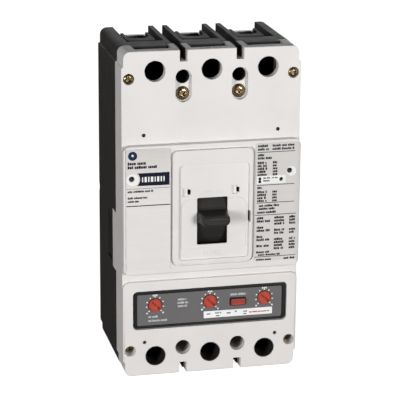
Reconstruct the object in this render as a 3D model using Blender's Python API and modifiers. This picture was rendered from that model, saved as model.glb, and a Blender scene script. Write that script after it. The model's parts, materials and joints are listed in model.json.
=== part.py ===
"""A three-pole molded case circuit breaker, built from its separate pieces.

Sizes are in millimetres, turned into metres by MM. The breaker stands upright: +X is to its right, +Z is up
towards the line terminals, and the front faces -Y. The origin is the centre of the rear mounting face.
A "depth" is a distance in front of that rear face, so depth d lies at Y = -d.
"""

import math

import bmesh
import bpy
from mathutils import Euler, Matrix, Vector

MM = 0.001
GAP = 0.3  # clearance between pieces that rest on each other

# Driving dimensions of the whole breaker
HALF_WIDTH = 69.85
HALF_HEIGHT = 128.6
POLE_PITCH = 43.7
POLES = (-POLE_PITCH, 0.0, POLE_PITCH)
BARRIERS = (-POLE_PITCH / 2, POLE_PITCH / 2)
END_STEP_Z = 116.3  # the ends beyond this height are narrower by END_INSET
END_INSET = 1.5
CORNER = 5.5
FACE_INSET = 0.2  # the raised faces of the cover are this much narrower than its sides
BEYOND = 2.0  # how far a cutter runs past the face it opens

# Depths of the molded case, from the rear face
SEAM = 71.0
FRONT = 96.5
TRIP_FRONT = 99.0
PLATEAU_FRONT = 102.2
PANEL_FRONT = 104.0
TRIP_ZONE_TOP = -51.6
COVER_WALL = 4.0

# Pole chambers and terminal compartments of the base
FLOOR = 5.0
CHAMBER_HALF = 19.0
CHAMBER_Z = (-51.0, 84.0)
TRIP_BAY_Z = (-98.0, -54.0)
TRIP_BAY_DEPTH = 20.0
TRIP_BAY_HALF = 62.7
COMPARTMENT_HALF = 14.2
TOP_COMPARTMENT = 88.0
BOTTOM_COMPARTMENT = -101.5
REAR_OPENING = 112.0
CROSS_WALL = (59.0, 78.6)  # at the line end; at the load end it fills the cover's slot
CROSS_WALL_HEIGHT = 6.6
SLOT_FRONT = 87.9
LOAD_WALL_FRONT = 87.4
CAVITY_HALF = 11.0  # the cover's part of a terminal compartment
CAVITY_DEPTH = 90.0
ACCESS_RADIUS = 8.0
BARRIER_SLOT = 7.4
BARRIER_SLOT_Z = 117.0
NOTCH_WIDTH = 5.75
NOTCH_Z = 119.8

# Mounting holes, cover screws and pins: X and Z
MOUNT_HOLE_Z = 107.5
MOUNT_HOLE_RADIUS = 3.4
MOUNT_BORE_RADIUS = 5.65
SIDE_SCREW = (63.7, 107.7)
INNER_SCREW_Z = 94.6
INNER_SEAT = 90.5
OBROUND_RADIUS = 6.15
PIN_X = 52.3
PIN_HEIGHTS = (64.1, -101.3)
PIN_RADIUS = 1.25
LABEL_HOLES = (((-62.9, 32.2), 1.9), ((60.5, 32.5), 1.75), ((53.9, 25.9), 1.35))

# Lugs: the screw's height, and the radius of the round side of the cable hole
LUG_SCREW_Z = 113.0
CABLE_RADIUS = 8.6

# The handle and the mechanism, as (depth, Z) points
HANDLE_AXIS = (62.0, -1.0)
HANDLE_UP = 14.0
HANDLE_TIP = 117.5
WINDOW_HALF = 11.9
WINDOW_Z = (-23.2, 14.3)
BARREL_RADIUS = 38.0
BARREL_SWEEP = 49.0
CROSSBAR_AXIS = (30.0, 0.0)
CROSSBAR_RADIUS = 8.0
CRADLE_AXIS = (66.0, 29.0)
LINK_AXIS = (68.0, 14.0)
CRANK = (5.0, 15.0)  # crank pin, from the crossbar's axis, with the contacts closed
UPPER_LINK = 18.5
LOWER_LINK = 15.1
KNEE_PIN_RADIUS = 2.0
KNEE_PLAY = 2.0  # how much wider the knee's eye is than its pin

# The trip unit
TRIP_HALF = 62.2
TRIP_BODY_Z = (-97.4, -54.6)
TRIP_BODY_DEPTH = (28.0, 91.5)
TRIP_FACE_Z = (-90.2, -59.9)
TRIP_FACE_HALF = 60.9
TRIP_FACE_DEPTH = 96.0
PLATE_THICKNESS = 0.6
KNOB_Z = -71.7
KNOB_RADIUS = 5.2
BUTTON_X = 22.3
BUTTON_Z = -73.4
BUTTON_HALF = (5.7, 2.6)
BUTTON_DEPTH = (96.9, 98.9)
BUTTON_STROKE = 2.0
TRIP_BAR_AXIS = (63.0, -82.0)

COLOURS = {
    "black_polyester": ((0.024, 0.023, 0.022), 0.5, 0.0),
    "grey_polyester": ((0.72, 0.70, 0.68), 0.45, 0.0),
    "label_film": ((0.60, 0.57, 0.55), 0.35, 0.0),
    "handle_black": ((0.030, 0.028, 0.027), 0.45, 0.0),
    "faceplate_grey": ((0.16, 0.155, 0.15), 0.4, 0.0),
    "strip_white": ((0.75, 0.75, 0.74), 0.4, 0.0),
    "red_plastic": ((0.44, 0.065, 0.036), 0.4, 0.0),
    "steel": ((0.45, 0.45, 0.44), 0.35, 1.0),
    "yellow_zinc": ((0.50, 0.36, 0.17), 0.35, 1.0),
    "copper": ((0.72, 0.34, 0.20), 0.35, 1.0),
    "braid_copper": ((0.55, 0.26, 0.15), 0.55, 1.0),
    "aluminium": ((0.68, 0.67, 0.65), 0.4, 1.0),
    "bimetal": ((0.50, 0.47, 0.40), 0.35, 1.0),
    "fibre": ((0.35, 0.16, 0.08), 0.8, 0.0),
}


# ---------------------------------------------------------------- scene and helpers


def clear_scene():
    for obj in list(bpy.data.objects):
        bpy.data.objects.remove(obj, do_unlink=True)
    for name in ("molded_case_breaker", "cutters"):
        if name not in bpy.data.collections:
            bpy.context.scene.collection.children.link(bpy.data.collections.new(name))


def material(name):
    found = bpy.data.materials.get(name)
    if found:
        return found
    colour, roughness, metallic = COLOURS[name]
    made = bpy.data.materials.new(name)
    made.use_nodes = True
    shader = made.node_tree.nodes["Principled BSDF"]
    shader.inputs["Base Color"].default_value = (*colour, 1.0)
    shader.inputs["Roughness"].default_value = roughness
    shader.inputs["Metallic"].default_value = metallic
    return made


def add_object(name, mesh, material_name=None):
    """Puts a mesh in the scene: as a part when it has a material, else as a cutter."""
    obj = bpy.data.objects.new(name, mesh)
    if material_name:
        mesh.materials.clear()
        mesh.materials.append(material(material_name))
        bpy.data.collections["molded_case_breaker"].objects.link(obj)
    else:
        bpy.data.collections["cutters"].objects.link(obj)
        obj.hide_render = True
        obj.display_type = "WIRE"
    return obj


def finish_mesh(name, bm, material_name, smooth=False):
    mesh = bpy.data.meshes.new(name)
    bmesh.ops.recalc_face_normals(bm, faces=bm.faces)
    bm.to_mesh(mesh)
    bm.free()
    if smooth:
        mesh.shade_smooth()
        mesh.set_sharp_from_angle(angle=math.radians(40))
    return add_object(name, mesh, material_name)


def block(name, x, depth, z, material_name=None, rounding=0.0, along="y", segments=4):
    """A box between two X, two depths and two Z, with its edges along one axis rounded."""
    bm = bmesh.new()
    bmesh.ops.create_cube(bm, size=1.0)
    size = Vector((x[1] - x[0], depth[1] - depth[0], z[1] - z[0])) * MM
    centre = Vector((x[0] + x[1], -depth[0] - depth[1], z[0] + z[1])) * MM / 2
    bm.transform(Matrix.Translation(centre) @ Matrix.Diagonal((*size, 1.0)))
    if rounding:
        axis = "xyz".index(along)
        edges = [e for e in bm.edges if abs((e.verts[0].co - e.verts[1].co)[axis]) > 1e-7]
        bmesh.ops.bevel(
            bm, geom=edges, offset=rounding * MM, segments=segments, profile=0.5, affect="EDGES"
        )
    return finish_mesh(name, bm, material_name)


AXIS_TURNS = {
    "x": Euler((0.0, math.pi / 2, 0.0)),
    "y": Euler((math.pi / 2, 0.0, 0.0)),
    "z": Euler((0.0, 0.0, 0.0)),
}


def rod(name, radius, along, ends, centre, material_name=None, segments=24, tip=None):
    """A cylinder, or a cone with a tip radius. Its ends and centre are given in X, depth and Z."""
    length = (ends[1] - ends[0]) * MM
    middle = (ends[0] + ends[1]) / 2
    place = {
        "x": Vector((middle, -centre[0], centre[1])),
        "y": Vector((centre[0], -middle, centre[1])),
        "z": Vector((centre[0], -centre[1], middle)),
    }[along]
    bm = bmesh.new()
    bmesh.ops.create_cone(
        bm,
        cap_ends=True,
        segments=segments,
        radius1=radius * MM,
        radius2=(radius if tip is None else tip) * MM,
        depth=length,
        matrix=Matrix.Translation(place * MM) @ AXIS_TURNS[along].to_matrix().to_4x4(),
    )
    return finish_mesh(name, bm, material_name, smooth=True)


PLANE_TURNS = {
    "front": Euler((math.pi / 2, 0.0, 0.0)),  # points are (X, Z), thickness runs along depth
    "side": Euler((math.pi / 2, 0.0, -math.pi / 2)),  # points are (depth, Z), thickness along X
}


def plate(name, points, plane, span, material_name=None, holes=()):
    """A flat outline with holes, of the thickness between the two values of span."""
    curve = bpy.data.curves.new(name, "CURVE")
    curve.dimensions = "2D"
    curve.fill_mode = "BOTH"
    curve.extrude = (span[1] - span[0]) / 2 * MM
    for ring in (points, *holes):
        spline = curve.splines.new("POLY")
        spline.points.add(len(ring) - 1)
        for point, (a, b) in zip(spline.points, ring):
            point.co = (a * MM, b * MM, 0.0, 1.0)
        spline.use_cyclic_u = True
    obj = bpy.data.objects.new(name, curve)
    bpy.context.scene.collection.objects.link(obj)
    obj.rotation_euler = PLANE_TURNS[plane]
    middle = (span[0] + span[1]) / 2 * MM
    obj.location = (0.0, -middle, 0.0) if plane == "front" else (middle, 0.0, 0.0)
    bpy.context.view_layer.update()
    evaluated = obj.evaluated_get(bpy.context.evaluated_depsgraph_get())
    mesh = bpy.data.meshes.new_from_object(evaluated)
    bm = bmesh.new()
    bm.from_mesh(mesh)
    bm.transform(obj.matrix_world)
    bmesh.ops.remove_doubles(bm, verts=bm.verts, dist=1e-6)
    bpy.data.objects.remove(obj, do_unlink=True)
    bpy.data.curves.remove(curve)
    bpy.data.meshes.remove(mesh)
    return finish_mesh(name, bm, material_name)


def arc(centre, radius, start, end, steps):
    """Points of an arc, from one angle to another in degrees."""
    angles = [math.radians(start + (end - start) * i / steps) for i in range(steps + 1)]
    return [(centre[0] + radius * math.cos(a), centre[1] + radius * math.sin(a)) for a in angles]


def circle(centre, radius, steps=20):
    return arc(centre, radius, 0, 360, steps)[:-1]


def capsule(first, second, radius, steps=8):
    """The outline of a link: two round ends joined by straight sides."""
    heading = math.degrees(math.atan2(second[1] - first[1], second[0] - first[0]))
    return arc(second, radius, heading - 90, heading + 90, steps) + arc(
        first, radius, heading + 90, heading + 270, steps
    )


def cut(target, *cutters):
    for cutter in cutters:
        add_boolean(target, cutter, "DIFFERENCE")
    return target


def join(target, *others):
    for other in others:
        add_boolean(target, other, "UNION")
    return target


def add_boolean(target, other, operation):
    modifier = target.modifiers.new(other.name, "BOOLEAN")
    modifier.operation = operation
    modifier.solver = "EXACT"
    modifier.object = other


def pivot(obj, point, angle=0.0):
    """Puts an object's origin on an X-parallel axis at a (depth, Z) point, and turns it about that axis."""
    place = Vector((0.0, -point[0], point[1])) * MM
    obj.data.transform(Matrix.Translation(-place))
    obj.location = place
    obj.rotation_euler = (math.radians(angle), 0.0, 0.0)
    turn = Matrix.Rotation(math.radians(angle), 4, "X")
    for modifier in obj.modifiers:
        tool = modifier.object
        tool.matrix_basis = Matrix.Translation(place) @ turn @ Matrix.Translation(-place) @ tool.matrix_basis
    return obj


def turned_about(point, axis, angle):
    """A (depth, Z) point turned about an axis; a positive angle swings +Z towards the front."""
    a = math.radians(angle)
    d, z = point[0] - axis[0], point[1] - axis[1]
    return axis[0] + d * math.cos(a) + z * math.sin(a), axis[1] - d * math.sin(a) + z * math.cos(a)


def crank_point():
    """Where the crank pin lies at rest, with the contacts swung open."""
    closed = (CROSSBAR_AXIS[0] + CRANK[0], CROSSBAR_AXIS[1] + CRANK[1])
    return turned_about(closed, CROSSBAR_AXIS, HANDLE_UP)


def knee_point():
    """Where the two links of the toggle meet, on the side towards the crossbar's load end."""
    crank = crank_point()
    away = (LINK_AXIS[0] - crank[0], LINK_AXIS[1] - crank[1])
    span = math.hypot(*away)
    along = (LOWER_LINK**2 - UPPER_LINK**2 + span**2) / (2 * span)
    aside = math.sqrt(LOWER_LINK**2 - along**2)
    unit = (away[0] / span, away[1] / span)
    return crank[0] + unit[0] * along + unit[1] * aside, crank[1] + unit[1] * along - unit[0] * aside


def both_sides(value):
    return (-value, value)


# ---------------------------------------------------------------- molded case


def case_outline(half_width):
    """The front outline of base and cover: rounded ends, a little narrower beyond the end steps."""
    inner = half_width - END_INSET
    step = END_STEP_Z + END_INSET / 2
    right = [(half_width, -END_STEP_Z), (half_width, END_STEP_Z), (inner, step)]
    right += arc((inner - CORNER, HALF_HEIGHT - CORNER), CORNER, 0, 90, 5)
    left = arc((CORNER - inner, HALF_HEIGHT - CORNER), CORNER, 90, 180, 5)
    left += [(-inner, step), (-half_width, END_STEP_Z), (-half_width, -END_STEP_Z), (-inner, -step)]
    left += arc((CORNER - inner, CORNER - HALF_HEIGHT), CORNER, 180, 270, 5)
    low_right = arc((inner - CORNER, CORNER - HALF_HEIGHT), CORNER, 270, 360, 5) + [(inner, -step)]
    return right + left + low_right


def trip_zone_outline(half_width):
    """The raised face round the trip unit: rounded at its top, and ending with the case below."""
    inner = half_width - END_INSET
    step = END_STEP_Z + END_INSET / 2
    top = TRIP_ZONE_TOP - CORNER
    low = CORNER - HALF_HEIGHT + FACE_INSET
    outline = arc((half_width - CORNER, top), CORNER, 0, 90, 5)
    outline += arc((CORNER - half_width, top), CORNER, 90, 180, 5)
    outline += [(-half_width, -END_STEP_Z), (-inner, -step)]
    outline += arc((CORNER - inner, low), CORNER, 180, 270, 5)
    outline += arc((inner - CORNER, low), CORNER, 270, 360, 5)
    return outline + [(inner, -step), (half_width, -END_STEP_Z)]


def end_z(sign, inner, outer):
    """A Z span at the top end (sign 1) or the bottom end (sign -1)."""
    return (inner, outer) if sign > 0 else (-outer, -inner)


def wall_front(sign):
    return CROSS_WALL[1] if sign > 0 else LOAD_WALL_FRONT


def compartment_z(sign, outer=HALF_HEIGHT + BEYOND):
    return (TOP_COMPARTMENT, outer) if sign > 0 else (-outer, BOTTOM_COMPARTMENT)


def make_base():
    base = plate("base", case_outline(HALF_WIDTH), "front", (0.0, SEAM), "black_polyester")
    for x in POLES:
        for sign in (1, -1):
            tongue = block(
                "tongue",
                both_sides(COMPARTMENT_HALF - GAP),
                (CROSS_WALL[0] + 3, wall_front(sign)),
                end_z(sign, HALF_HEIGHT - CROSS_WALL_HEIGHT - 1, HALF_HEIGHT),
            )
            tongue.location.x = x * MM
            join(base, tongue)
    for x in POLES:
        span = (x - COMPARTMENT_HALF, x + COMPARTMENT_HALF)
        cut(
            base,
            block("chamber", (x - CHAMBER_HALF, x + CHAMBER_HALF), (FLOOR, SEAM + BEYOND), CHAMBER_Z),
            block("line_slot", (x - 11, x + 11), (12.5, 19.5), (80, 90)),
            block("load_slot", (x - 11, x + 11), (12.5, 22.0), (-104, -48)),
        )
        for sign in (1, -1):
            low, high = compartment_z(sign)
            inner = HALF_HEIGHT - CROSS_WALL_HEIGHT
            shallow = (low, inner) if sign > 0 else (-inner, high)
            beyond_end = end_z(sign, REAR_OPENING, HALF_HEIGHT + BEYOND)
            cut(
                base,
                block("compartment", span, (FLOOR, CROSS_WALL[0]), (low, high)),
                block("screw_access", span, (CROSS_WALL[0] - 1, wall_front(sign) + BEYOND), shallow),
                block("rear_opening", span, (-BEYOND, FLOOR + 1), beyond_end),
            )
    cut(
        base,
        block("trip_bay", both_sides(TRIP_BAY_HALF), (TRIP_BAY_DEPTH, SEAM + BEYOND), TRIP_BAY_Z),
        block("crossbar_slot", both_sides(60.8), (20, SEAM + BEYOND), both_sides(10.0)),
        block("latch_slot", both_sides(9.0), (40, SEAM + BEYOND), (-56, -48)),
    )
    for x in BARRIERS:
        for sign in (1, -1):
            cut(
                base,
                block(
                    "barrier_slot",
                    (x - BARRIER_SLOT / 2, x + BARRIER_SLOT / 2),
                    (-BEYOND, SEAM + BEYOND),
                    end_z(sign, BARRIER_SLOT_Z, HALF_HEIGHT + BEYOND),
                ),
                rod("mount_hole", MOUNT_HOLE_RADIUS, "y", (-BEYOND, SEAM + BEYOND), (x, sign * MOUNT_HOLE_Z)),
                rod("mount_bore", MOUNT_BORE_RADIUS, "y", (20, SEAM + BEYOND), (x, sign * MOUNT_HOLE_Z)),
            )
        cut(base, rod("screw_hole", 2.3, "y", (50, SEAM + BEYOND), (x, INNER_SCREW_Z), segments=12))
    for side in (-1, 1):
        for sign in (1, -1):
            place = (side * SIDE_SCREW[0], sign * SIDE_SCREW[1])
            cut(
                base,
                rod("screw_hole", 2.3, "y", (40, SEAM + BEYOND), place, segments=12),
                block(
                    "lip_pocket",
                    sorted((side * 57.0, side * 64.5)),
                    (-BEYOND, 19.0),
                    end_z(sign, REAR_OPENING, HALF_HEIGHT - 4.6),
                ),
            )
        cut(
            base,
            block("skirt_recess", sorted((side * 66.0, side * 71.0)), (56.8, SEAM + 1), (-51.2, -2.6)),
            block("side_recess", sorted((side * 68.9, side * 71.0)), (37.0, 57.5), (-47.0, -8.0)),
            rod("rear_notch", 5.0, "x", sorted((side * 67.0, side * 72.0)), (-3.2, -1.5)),
        )
    return base


def make_cover():
    half = HALF_WIDTH - 0.45
    cover = plate("cover", case_outline(half), "front", (SEAM + GAP, FRONT), "grey_polyester")
    plateau = block(
        "plateau", both_sides(half - FACE_INSET), (FRONT - 1, PLATEAU_FRONT), (-44.8, 57.1), rounding=CORNER
    )
    trip_zone = plate(
        "trip_zone",
        trip_zone_outline(half - FACE_INSET),
        "front",
        (FRONT - 1, TRIP_FRONT),
    )
    panel = block("panel", both_sides(31.0), (PLATEAU_FRONT - 1.5, PANEL_FRONT), (-38.0, 52.4), rounding=4.0)
    groove = block(
        "panel_groove", both_sides(32.2), (PLATEAU_FRONT - 0.8, PANEL_FRONT), (-39.2, 53.6), rounding=5.2
    )
    join(cover, plateau, trip_zone)
    cut(cover, groove)
    join(cover, panel)
    for side in (-1, 1):
        skirt = block("skirt", sorted((side * 66.3, side * half)), (57.2, SEAM + 6), (-50.8, -3.0))
        join(cover, skirt)
    hollow_cover(cover)
    for x in POLES:
        for sign in (1, -1):
            cavity = (x - CAVITY_HALF, x + CAVITY_HALF)
            slot = (x - COMPARTMENT_HALF, x + COMPARTMENT_HALF)
            wall = HALF_HEIGHT - CROSS_WALL_HEIGHT
            over_lug = (x, sign * LUG_SCREW_Z)
            cut(
                cover,
                block("terminal_cavity", cavity, (SEAM - 1, CAVITY_DEPTH), compartment_z(sign, wall)),
                block("end_slot", slot, (SEAM - 1, SLOT_FRONT), end_z(sign, wall - 1, HALF_HEIGHT + BEYOND)),
                rod("access_hole", ACCESS_RADIUS, "y", (85, TRIP_FRONT + BEYOND), over_lug, segments=32),
            )
    through = (SEAM - 1, TRIP_FRONT + BEYOND)
    for x in BARRIERS:
        for sign in (1, -1):
            cut(
                cover,
                block(
                    "barrier_notch",
                    (x - NOTCH_WIDTH / 2, x + NOTCH_WIDTH / 2),
                    through,
                    end_z(sign, NOTCH_Z, HALF_HEIGHT + BEYOND),
                ),
                rod("bore", MOUNT_BORE_RADIUS, "y", through, (x, sign * MOUNT_HOLE_Z)),
            )
        obround = capsule((x, INNER_SCREW_Z), (x, MOUNT_HOLE_Z), OBROUND_RADIUS)
        cut(
            cover,
            plate("obround", obround, "front", (92.5, FRONT + BEYOND)),
            rod("screw_seat", 5.6, "y", (INNER_SEAT, FRONT + BEYOND), (x, INNER_SCREW_Z)),
            rod("screw_hole", 2.7, "y", (SEAM - 1, FRONT), (x, INNER_SCREW_Z), segments=16),
        )
    for side in (-1, 1):
        for sign, seat in ((1, 93.5), (-1, 88.0)):
            place = (side * SIDE_SCREW[0], sign * SIDE_SCREW[1])
            cut(
                cover,
                rod("screw_seat", 4.25, "y", (seat, TRIP_FRONT + BEYOND), place),
                rod("screw_hole", 2.7, "y", (SEAM - 1, FRONT), place, segments=16),
            )
        for z in PIN_HEIGHTS:
            depth = (94.5, TRIP_FRONT + BEYOND)
            cut(cover, rod("pin_hole", PIN_RADIUS, "y", depth, (side * PIN_X, z), segments=12))
    for at, radius in LABEL_HOLES:
        cut(cover, rod("small_hole", radius, "y", (99.8, PLATEAU_FRONT + BEYOND), at, segments=16))
    return cover


def hollow_cover(cover):
    """The chambers behind the front plate, the handle window and the trip unit window."""
    inner = FRONT - COVER_WALL
    cut(
        cover,
        block("main_cavity", both_sides(65.4), (SEAM - 1, inner), (-98.0, 40.0)),
        block("plateau_cavity", both_sides(64.0), (inner - 1, PLATEAU_FRONT - COVER_WALL), (-40.0, 52.0)),
        block("panel_cavity", both_sides(26.0), (90.0, PANEL_FRONT - 3.6), (-34.0, 48.0)),
        block(
            "handle_window",
            both_sides(WINDOW_HALF),
            (90.0, PANEL_FRONT + BEYOND),
            WINDOW_Z,
            rounding=1.0,
            segments=2,
        ),
        block(
            "trip_window",
            both_sides(61.4),
            (90.0, TRIP_FRONT + BEYOND),
            (-90.7, -59.4),
            rounding=3.5,
        ),
    )
    for x in POLES:
        chamber = (x - CHAMBER_HALF, x + CHAMBER_HALF)
        cut(cover, block("arc_cavity", chamber, (SEAM - 1, inner), (39.0, CHAMBER_Z[1])))


# ---------------------------------------------------------------- handle and mechanism


def make_handle():
    d, z = HANDLE_AXIS
    grip = block(
        "handle", both_sides(11.7), (101.6, HANDLE_TIP), (z - 3.9, z + 3.9), "handle_black", 2.2, segments=3
    )
    stem = block("stem", both_sides(6.0), (93.4, 102.0), (z - 2.4, z + 2.4))
    foot = block("foot", both_sides(9.0), (93.4, 95.4), (z - 4.5, z + 4.5))
    join(grip, stem, foot)
    shield_outline = arc(HANDLE_AXIS, BARREL_RADIUS, -BARREL_SWEEP, BARREL_SWEEP, 20)
    shield_outline += arc(HANDLE_AXIS, BARREL_RADIUS - 2.4, BARREL_SWEEP, -BARREL_SWEEP, 20)
    shield = plate("handle_arc_shield", shield_outline, "side", both_sides(15.0), "handle_black")
    cut(shield, block("stem_hole", both_sides(6.3), (93.0, 103.0), (z - 2.7, z + 2.7)))
    bridge = block("handle_yoke", both_sides(16.0), (90.2, 93.0), (z - 6.0, z + 6.0), "steel")
    for side in (-1, 1):
        arm = plate(
            "yoke_arm",
            capsule(HANDLE_AXIS, (91.0, z), 5.5),
            "side",
            sorted((side * 14.2, side * 16.0)),
            holes=[circle(HANDLE_AXIS, 2.4, 16)],
        )
        trim = block("arm_trim", sorted((side * 13.0, side * 17.0)), (93.0, 99.0), (z - 8, z + 8))
        cut(arm, trim)
        join(bridge, arm)
    for piece in (grip, shield, bridge):
        pivot(piece, HANDLE_AXIS)


def make_frames():
    """Two steel side plates that straddle the centre pole's crossbar and carry the handle and cradle."""
    for side, name in ((-1, "mechanism_frame_left"), (1, "mechanism_frame_right")):
        outline = [(FLOOR + GAP, 26), (FLOOR + GAP, 36), (70, 36)] + arc(HANDLE_AXIS, 24.0, 60, -60, 8)
        outline += [(60, -34), (FLOOR + GAP, -34), (FLOOR + GAP, -24)]
        outline += [(40, -24), (48, -14), (48, 16), (40, 26)]
        bore = circle(CRADLE_AXIS, 2.3, 16)
        frame = plate(name, outline, "side", sorted((side * 11.2, side * 13.2)), "steel", [bore])
        stud = rod("stud", 2.1, "x", sorted((side * 12.0, side * 17.0)), HANDLE_AXIS, segments=16)
        join(frame, stud)


def make_cradle():
    """The latched lever: it pivots on the frames and its tip reaches down to the trip bar."""
    tip = (69.5, -46.0)
    outline = capsule(CRADLE_AXIS, tip, 3.2)
    slot = capsule((67.9, 13.95), (71.2, 14.8), 2.4, 6)
    arm_body = plate("cradle", outline, "side", both_sides(1.5), "steel")
    boss = plate("cradle_boss", capsule((66.5, 14.0), (71.6, 14.8), 5.2), "side", both_sides(1.8))
    join(arm_body, boss)
    cut(arm_body, plate("cradle_slot", slot, "side", both_sides(3.0)))
    join(arm_body, rod("cradle_pin", 2.0, "x", both_sides(13.6), CRADLE_AXIS, segments=16))
    pivot(arm_body, CRADLE_AXIS)


def make_links():
    knee, crank = knee_point(), crank_point()
    upper = rod("upper_link", 2.0, "x", both_sides(4.0), LINK_AXIS, "steel", 16)
    for side in (-1, 1):
        web = plate(
            "upper_web",
            capsule(LINK_AXIS, knee, 4.2),
            "side",
            sorted((side * 2.2, side * 4.0)),
            holes=[circle(knee, KNEE_PIN_RADIUS + GAP, 16)],
        )
        join(upper, web)
    pivot(upper, LINK_AXIS)
    pivot(rod("toggle_pin", KNEE_PIN_RADIUS, "x", both_sides(10.4), knee, "steel", 16), LINK_AXIS)
    eye = KNEE_PIN_RADIUS + KNEE_PLAY
    lower = plate("lower_link", capsule(crank, knee, 3.2), "side", both_sides(1.3), "steel")
    ring = rod("eye", eye + 1.8, "x", both_sides(1.3), knee, segments=24)
    join(lower, ring)
    cut(lower, rod("eye_hole", eye, "x", both_sides(3.0), knee, segments=24))
    join(lower, rod("crank_pin", 1.9, "x", both_sides(9.4), crank, segments=16))
    pivot(lower, crank)


def make_springs():
    """Two tension springs, from the knee pin to the yoke's bridge."""
    knee = knee_point()
    top = Vector((0.0, -89.2, HANDLE_AXIS[1])) * MM
    bottom = Vector((0.0, -(knee[0] + 2.6), knee[1])) * MM
    axis = top - bottom
    side_way = Vector((1.0, 0.0, 0.0))
    up_way = axis.normalized().cross(side_way)
    turns, radius, sides = 11, 2.2, 10
    for side, name in ((-1, "spring_left"), (1, "spring_right")):
        curve = bpy.data.curves.new(name, "CURVE")
        curve.dimensions = "3D"
        curve.bevel_depth = 0.45 * MM
        curve.bevel_resolution = 1
        curve.use_fill_caps = True
        spline = curve.splines.new("POLY")
        steps = turns * sides
        spline.points.add(steps)
        for i, point in enumerate(spline.points):
            angle = 2 * math.pi * i / sides
            place = bottom + axis * (i / steps) + Vector((side * 8.0 * MM, 0.0, 0.0))
            place += (side_way * math.cos(angle) + up_way * math.sin(angle)) * radius * MM
            point.co = (*place, 1.0)
        obj = bpy.data.objects.new(name, curve)
        curve.materials.append(material("steel"))
        bpy.data.collections["molded_case_breaker"].objects.link(obj)


def make_crossbar():
    """The insulating shaft across the poles, with a pocket for each contact arm and two crank ears."""
    bar = rod("crossbar", CROSSBAR_RADIUS, "x", both_sides(60.0), CROSSBAR_AXIS, "black_polyester", 20)
    for side in (-1, 1):
        ear = plate(
            "crank_ear",
            capsule(CROSSBAR_AXIS, (CROSSBAR_AXIS[0] + CRANK[0], CROSSBAR_AXIS[1] + CRANK[1]), 4.6),
            "side",
            sorted((side * 6.6, side * 9.0)),
            holes=[circle((CROSSBAR_AXIS[0] + CRANK[0], CROSSBAR_AXIS[1] + CRANK[1]), 2.3, 16)],
        )
        join(bar, ear)
    for x in POLES:
        cut(bar, block("arm_pocket", (x - 5.3, x + 5.3), (25.7, 31.3), (-1.8, 12.0)))
    pivot(bar, CROSSBAR_AXIS, HANDLE_UP)
    for index, x in enumerate(POLES, 1):
        arm = block(f"contact_arm_{index}", (x - 5.0, x + 5.0), (26.0, 31.0), (-1.5, 54.0), "copper")
        join(arm, block("moving_contact", (x - 4.5, x + 4.5), (22.0, 26.4), (45.0, 54.0)))
        pivot(arm, CROSSBAR_AXIS, HANDLE_UP)


# ---------------------------------------------------------------- current path


def make_current_path():
    for index, x in enumerate(POLES, 1):
        line = block(f"line_conductor_{index}", (x - 10, x + 10), (14.0, 18.0), (44.0, 119.0), "copper")
        join(line, block("fixed_contact", (x - 5, x + 5), (17.5, 21.4), (45.0, 55.0)))
        load = block(f"load_conductor_{index}", (x - 10, x + 10), (14.0, 18.0), (-119.0, -40.0), "copper")
        bimetal = block(f"bimetal_{index}", (x - 6, x + 6), (18.3, 71.0), (-91.5, -90.0), "bimetal")
        join(bimetal, block("bimetal_foot", (x - 6, x + 6), (18.3, 19.8), (-91.5, -84.0)))
        for conductor in (line, load):
            sign = 1 if conductor is line else -1
            cut(conductor, rod("cable_screw_hole", 3.0, "y", (10, 22), (x, sign * 110.0), segments=16))
        make_shunt(index, x)
        make_arc_chute(index, x)


def make_shunt(index, x):
    """The braid from the load conductor's upper end to the root of the contact arm."""
    low, high = (20.4, -44.0), (35.0, -9.0)
    middle = [(26.0, -44.0), (40.0, -36.0), (44.0, -24.0), (38.0, -13.0)]
    route = [low, *middle, high]
    thickness = 1.6
    curve = bpy.data.curves.new("route", "CURVE")
    curve.dimensions = "2D"
    spline = curve.splines.new("BEZIER")
    spline.bezier_points.add(len(route) - 1)
    for point, (a, b) in zip(spline.bezier_points, route):
        point.co = (a * MM, b * MM, 0.0)
        point.handle_left_type = point.handle_right_type = "AUTO"
    spline.resolution_u = 5
    curve.extrude = 5.0 * MM
    obj = bpy.data.objects.new("route", curve)
    bpy.context.scene.collection.objects.link(obj)
    obj.rotation_euler = PLANE_TURNS["side"]
    obj.location = (x * MM, 0.0, 0.0)
    bpy.context.view_layer.update()
    mesh = bpy.data.meshes.new_from_object(obj.evaluated_get(bpy.context.evaluated_depsgraph_get()))
    mesh.transform(obj.matrix_world)
    bpy.data.objects.remove(obj, do_unlink=True)
    bpy.data.curves.remove(curve)
    shunt = add_object(f"flexible_shunt_{index}", mesh, "braid_copper")
    solidify = shunt.modifiers.new("thickness", "SOLIDIFY")
    solidify.thickness = thickness * MM
    solidify.offset = 0.0


def make_arc_chute(index, x):
    """A stack of notched steel plates held between two fibre side plates."""
    across = [sorted((x + side * 16.4, x + side * 18.0)) for side in (-1, 1)]
    sides = [block("chute_side", span, (22.5, 68.0), (41.0, 80.0)) for span in across]
    chute = block(f"arc_chute_{index}", (x - 17, x + 17), (66.5, 68.0), (41.0, 80.0), "steel")
    join(chute, *sides)
    for step in range(8):
        depth = 24.0 + 5.2 * step
        join(chute, block("arc_plate", (x - 17, x + 17), (depth, depth + 1.2), (43.0, 78.0)))
    cut(chute, block("arc_notch", (x - 7.0, x + 7.0), (20.0, 66.0), (38.0, 61.0)))


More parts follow.
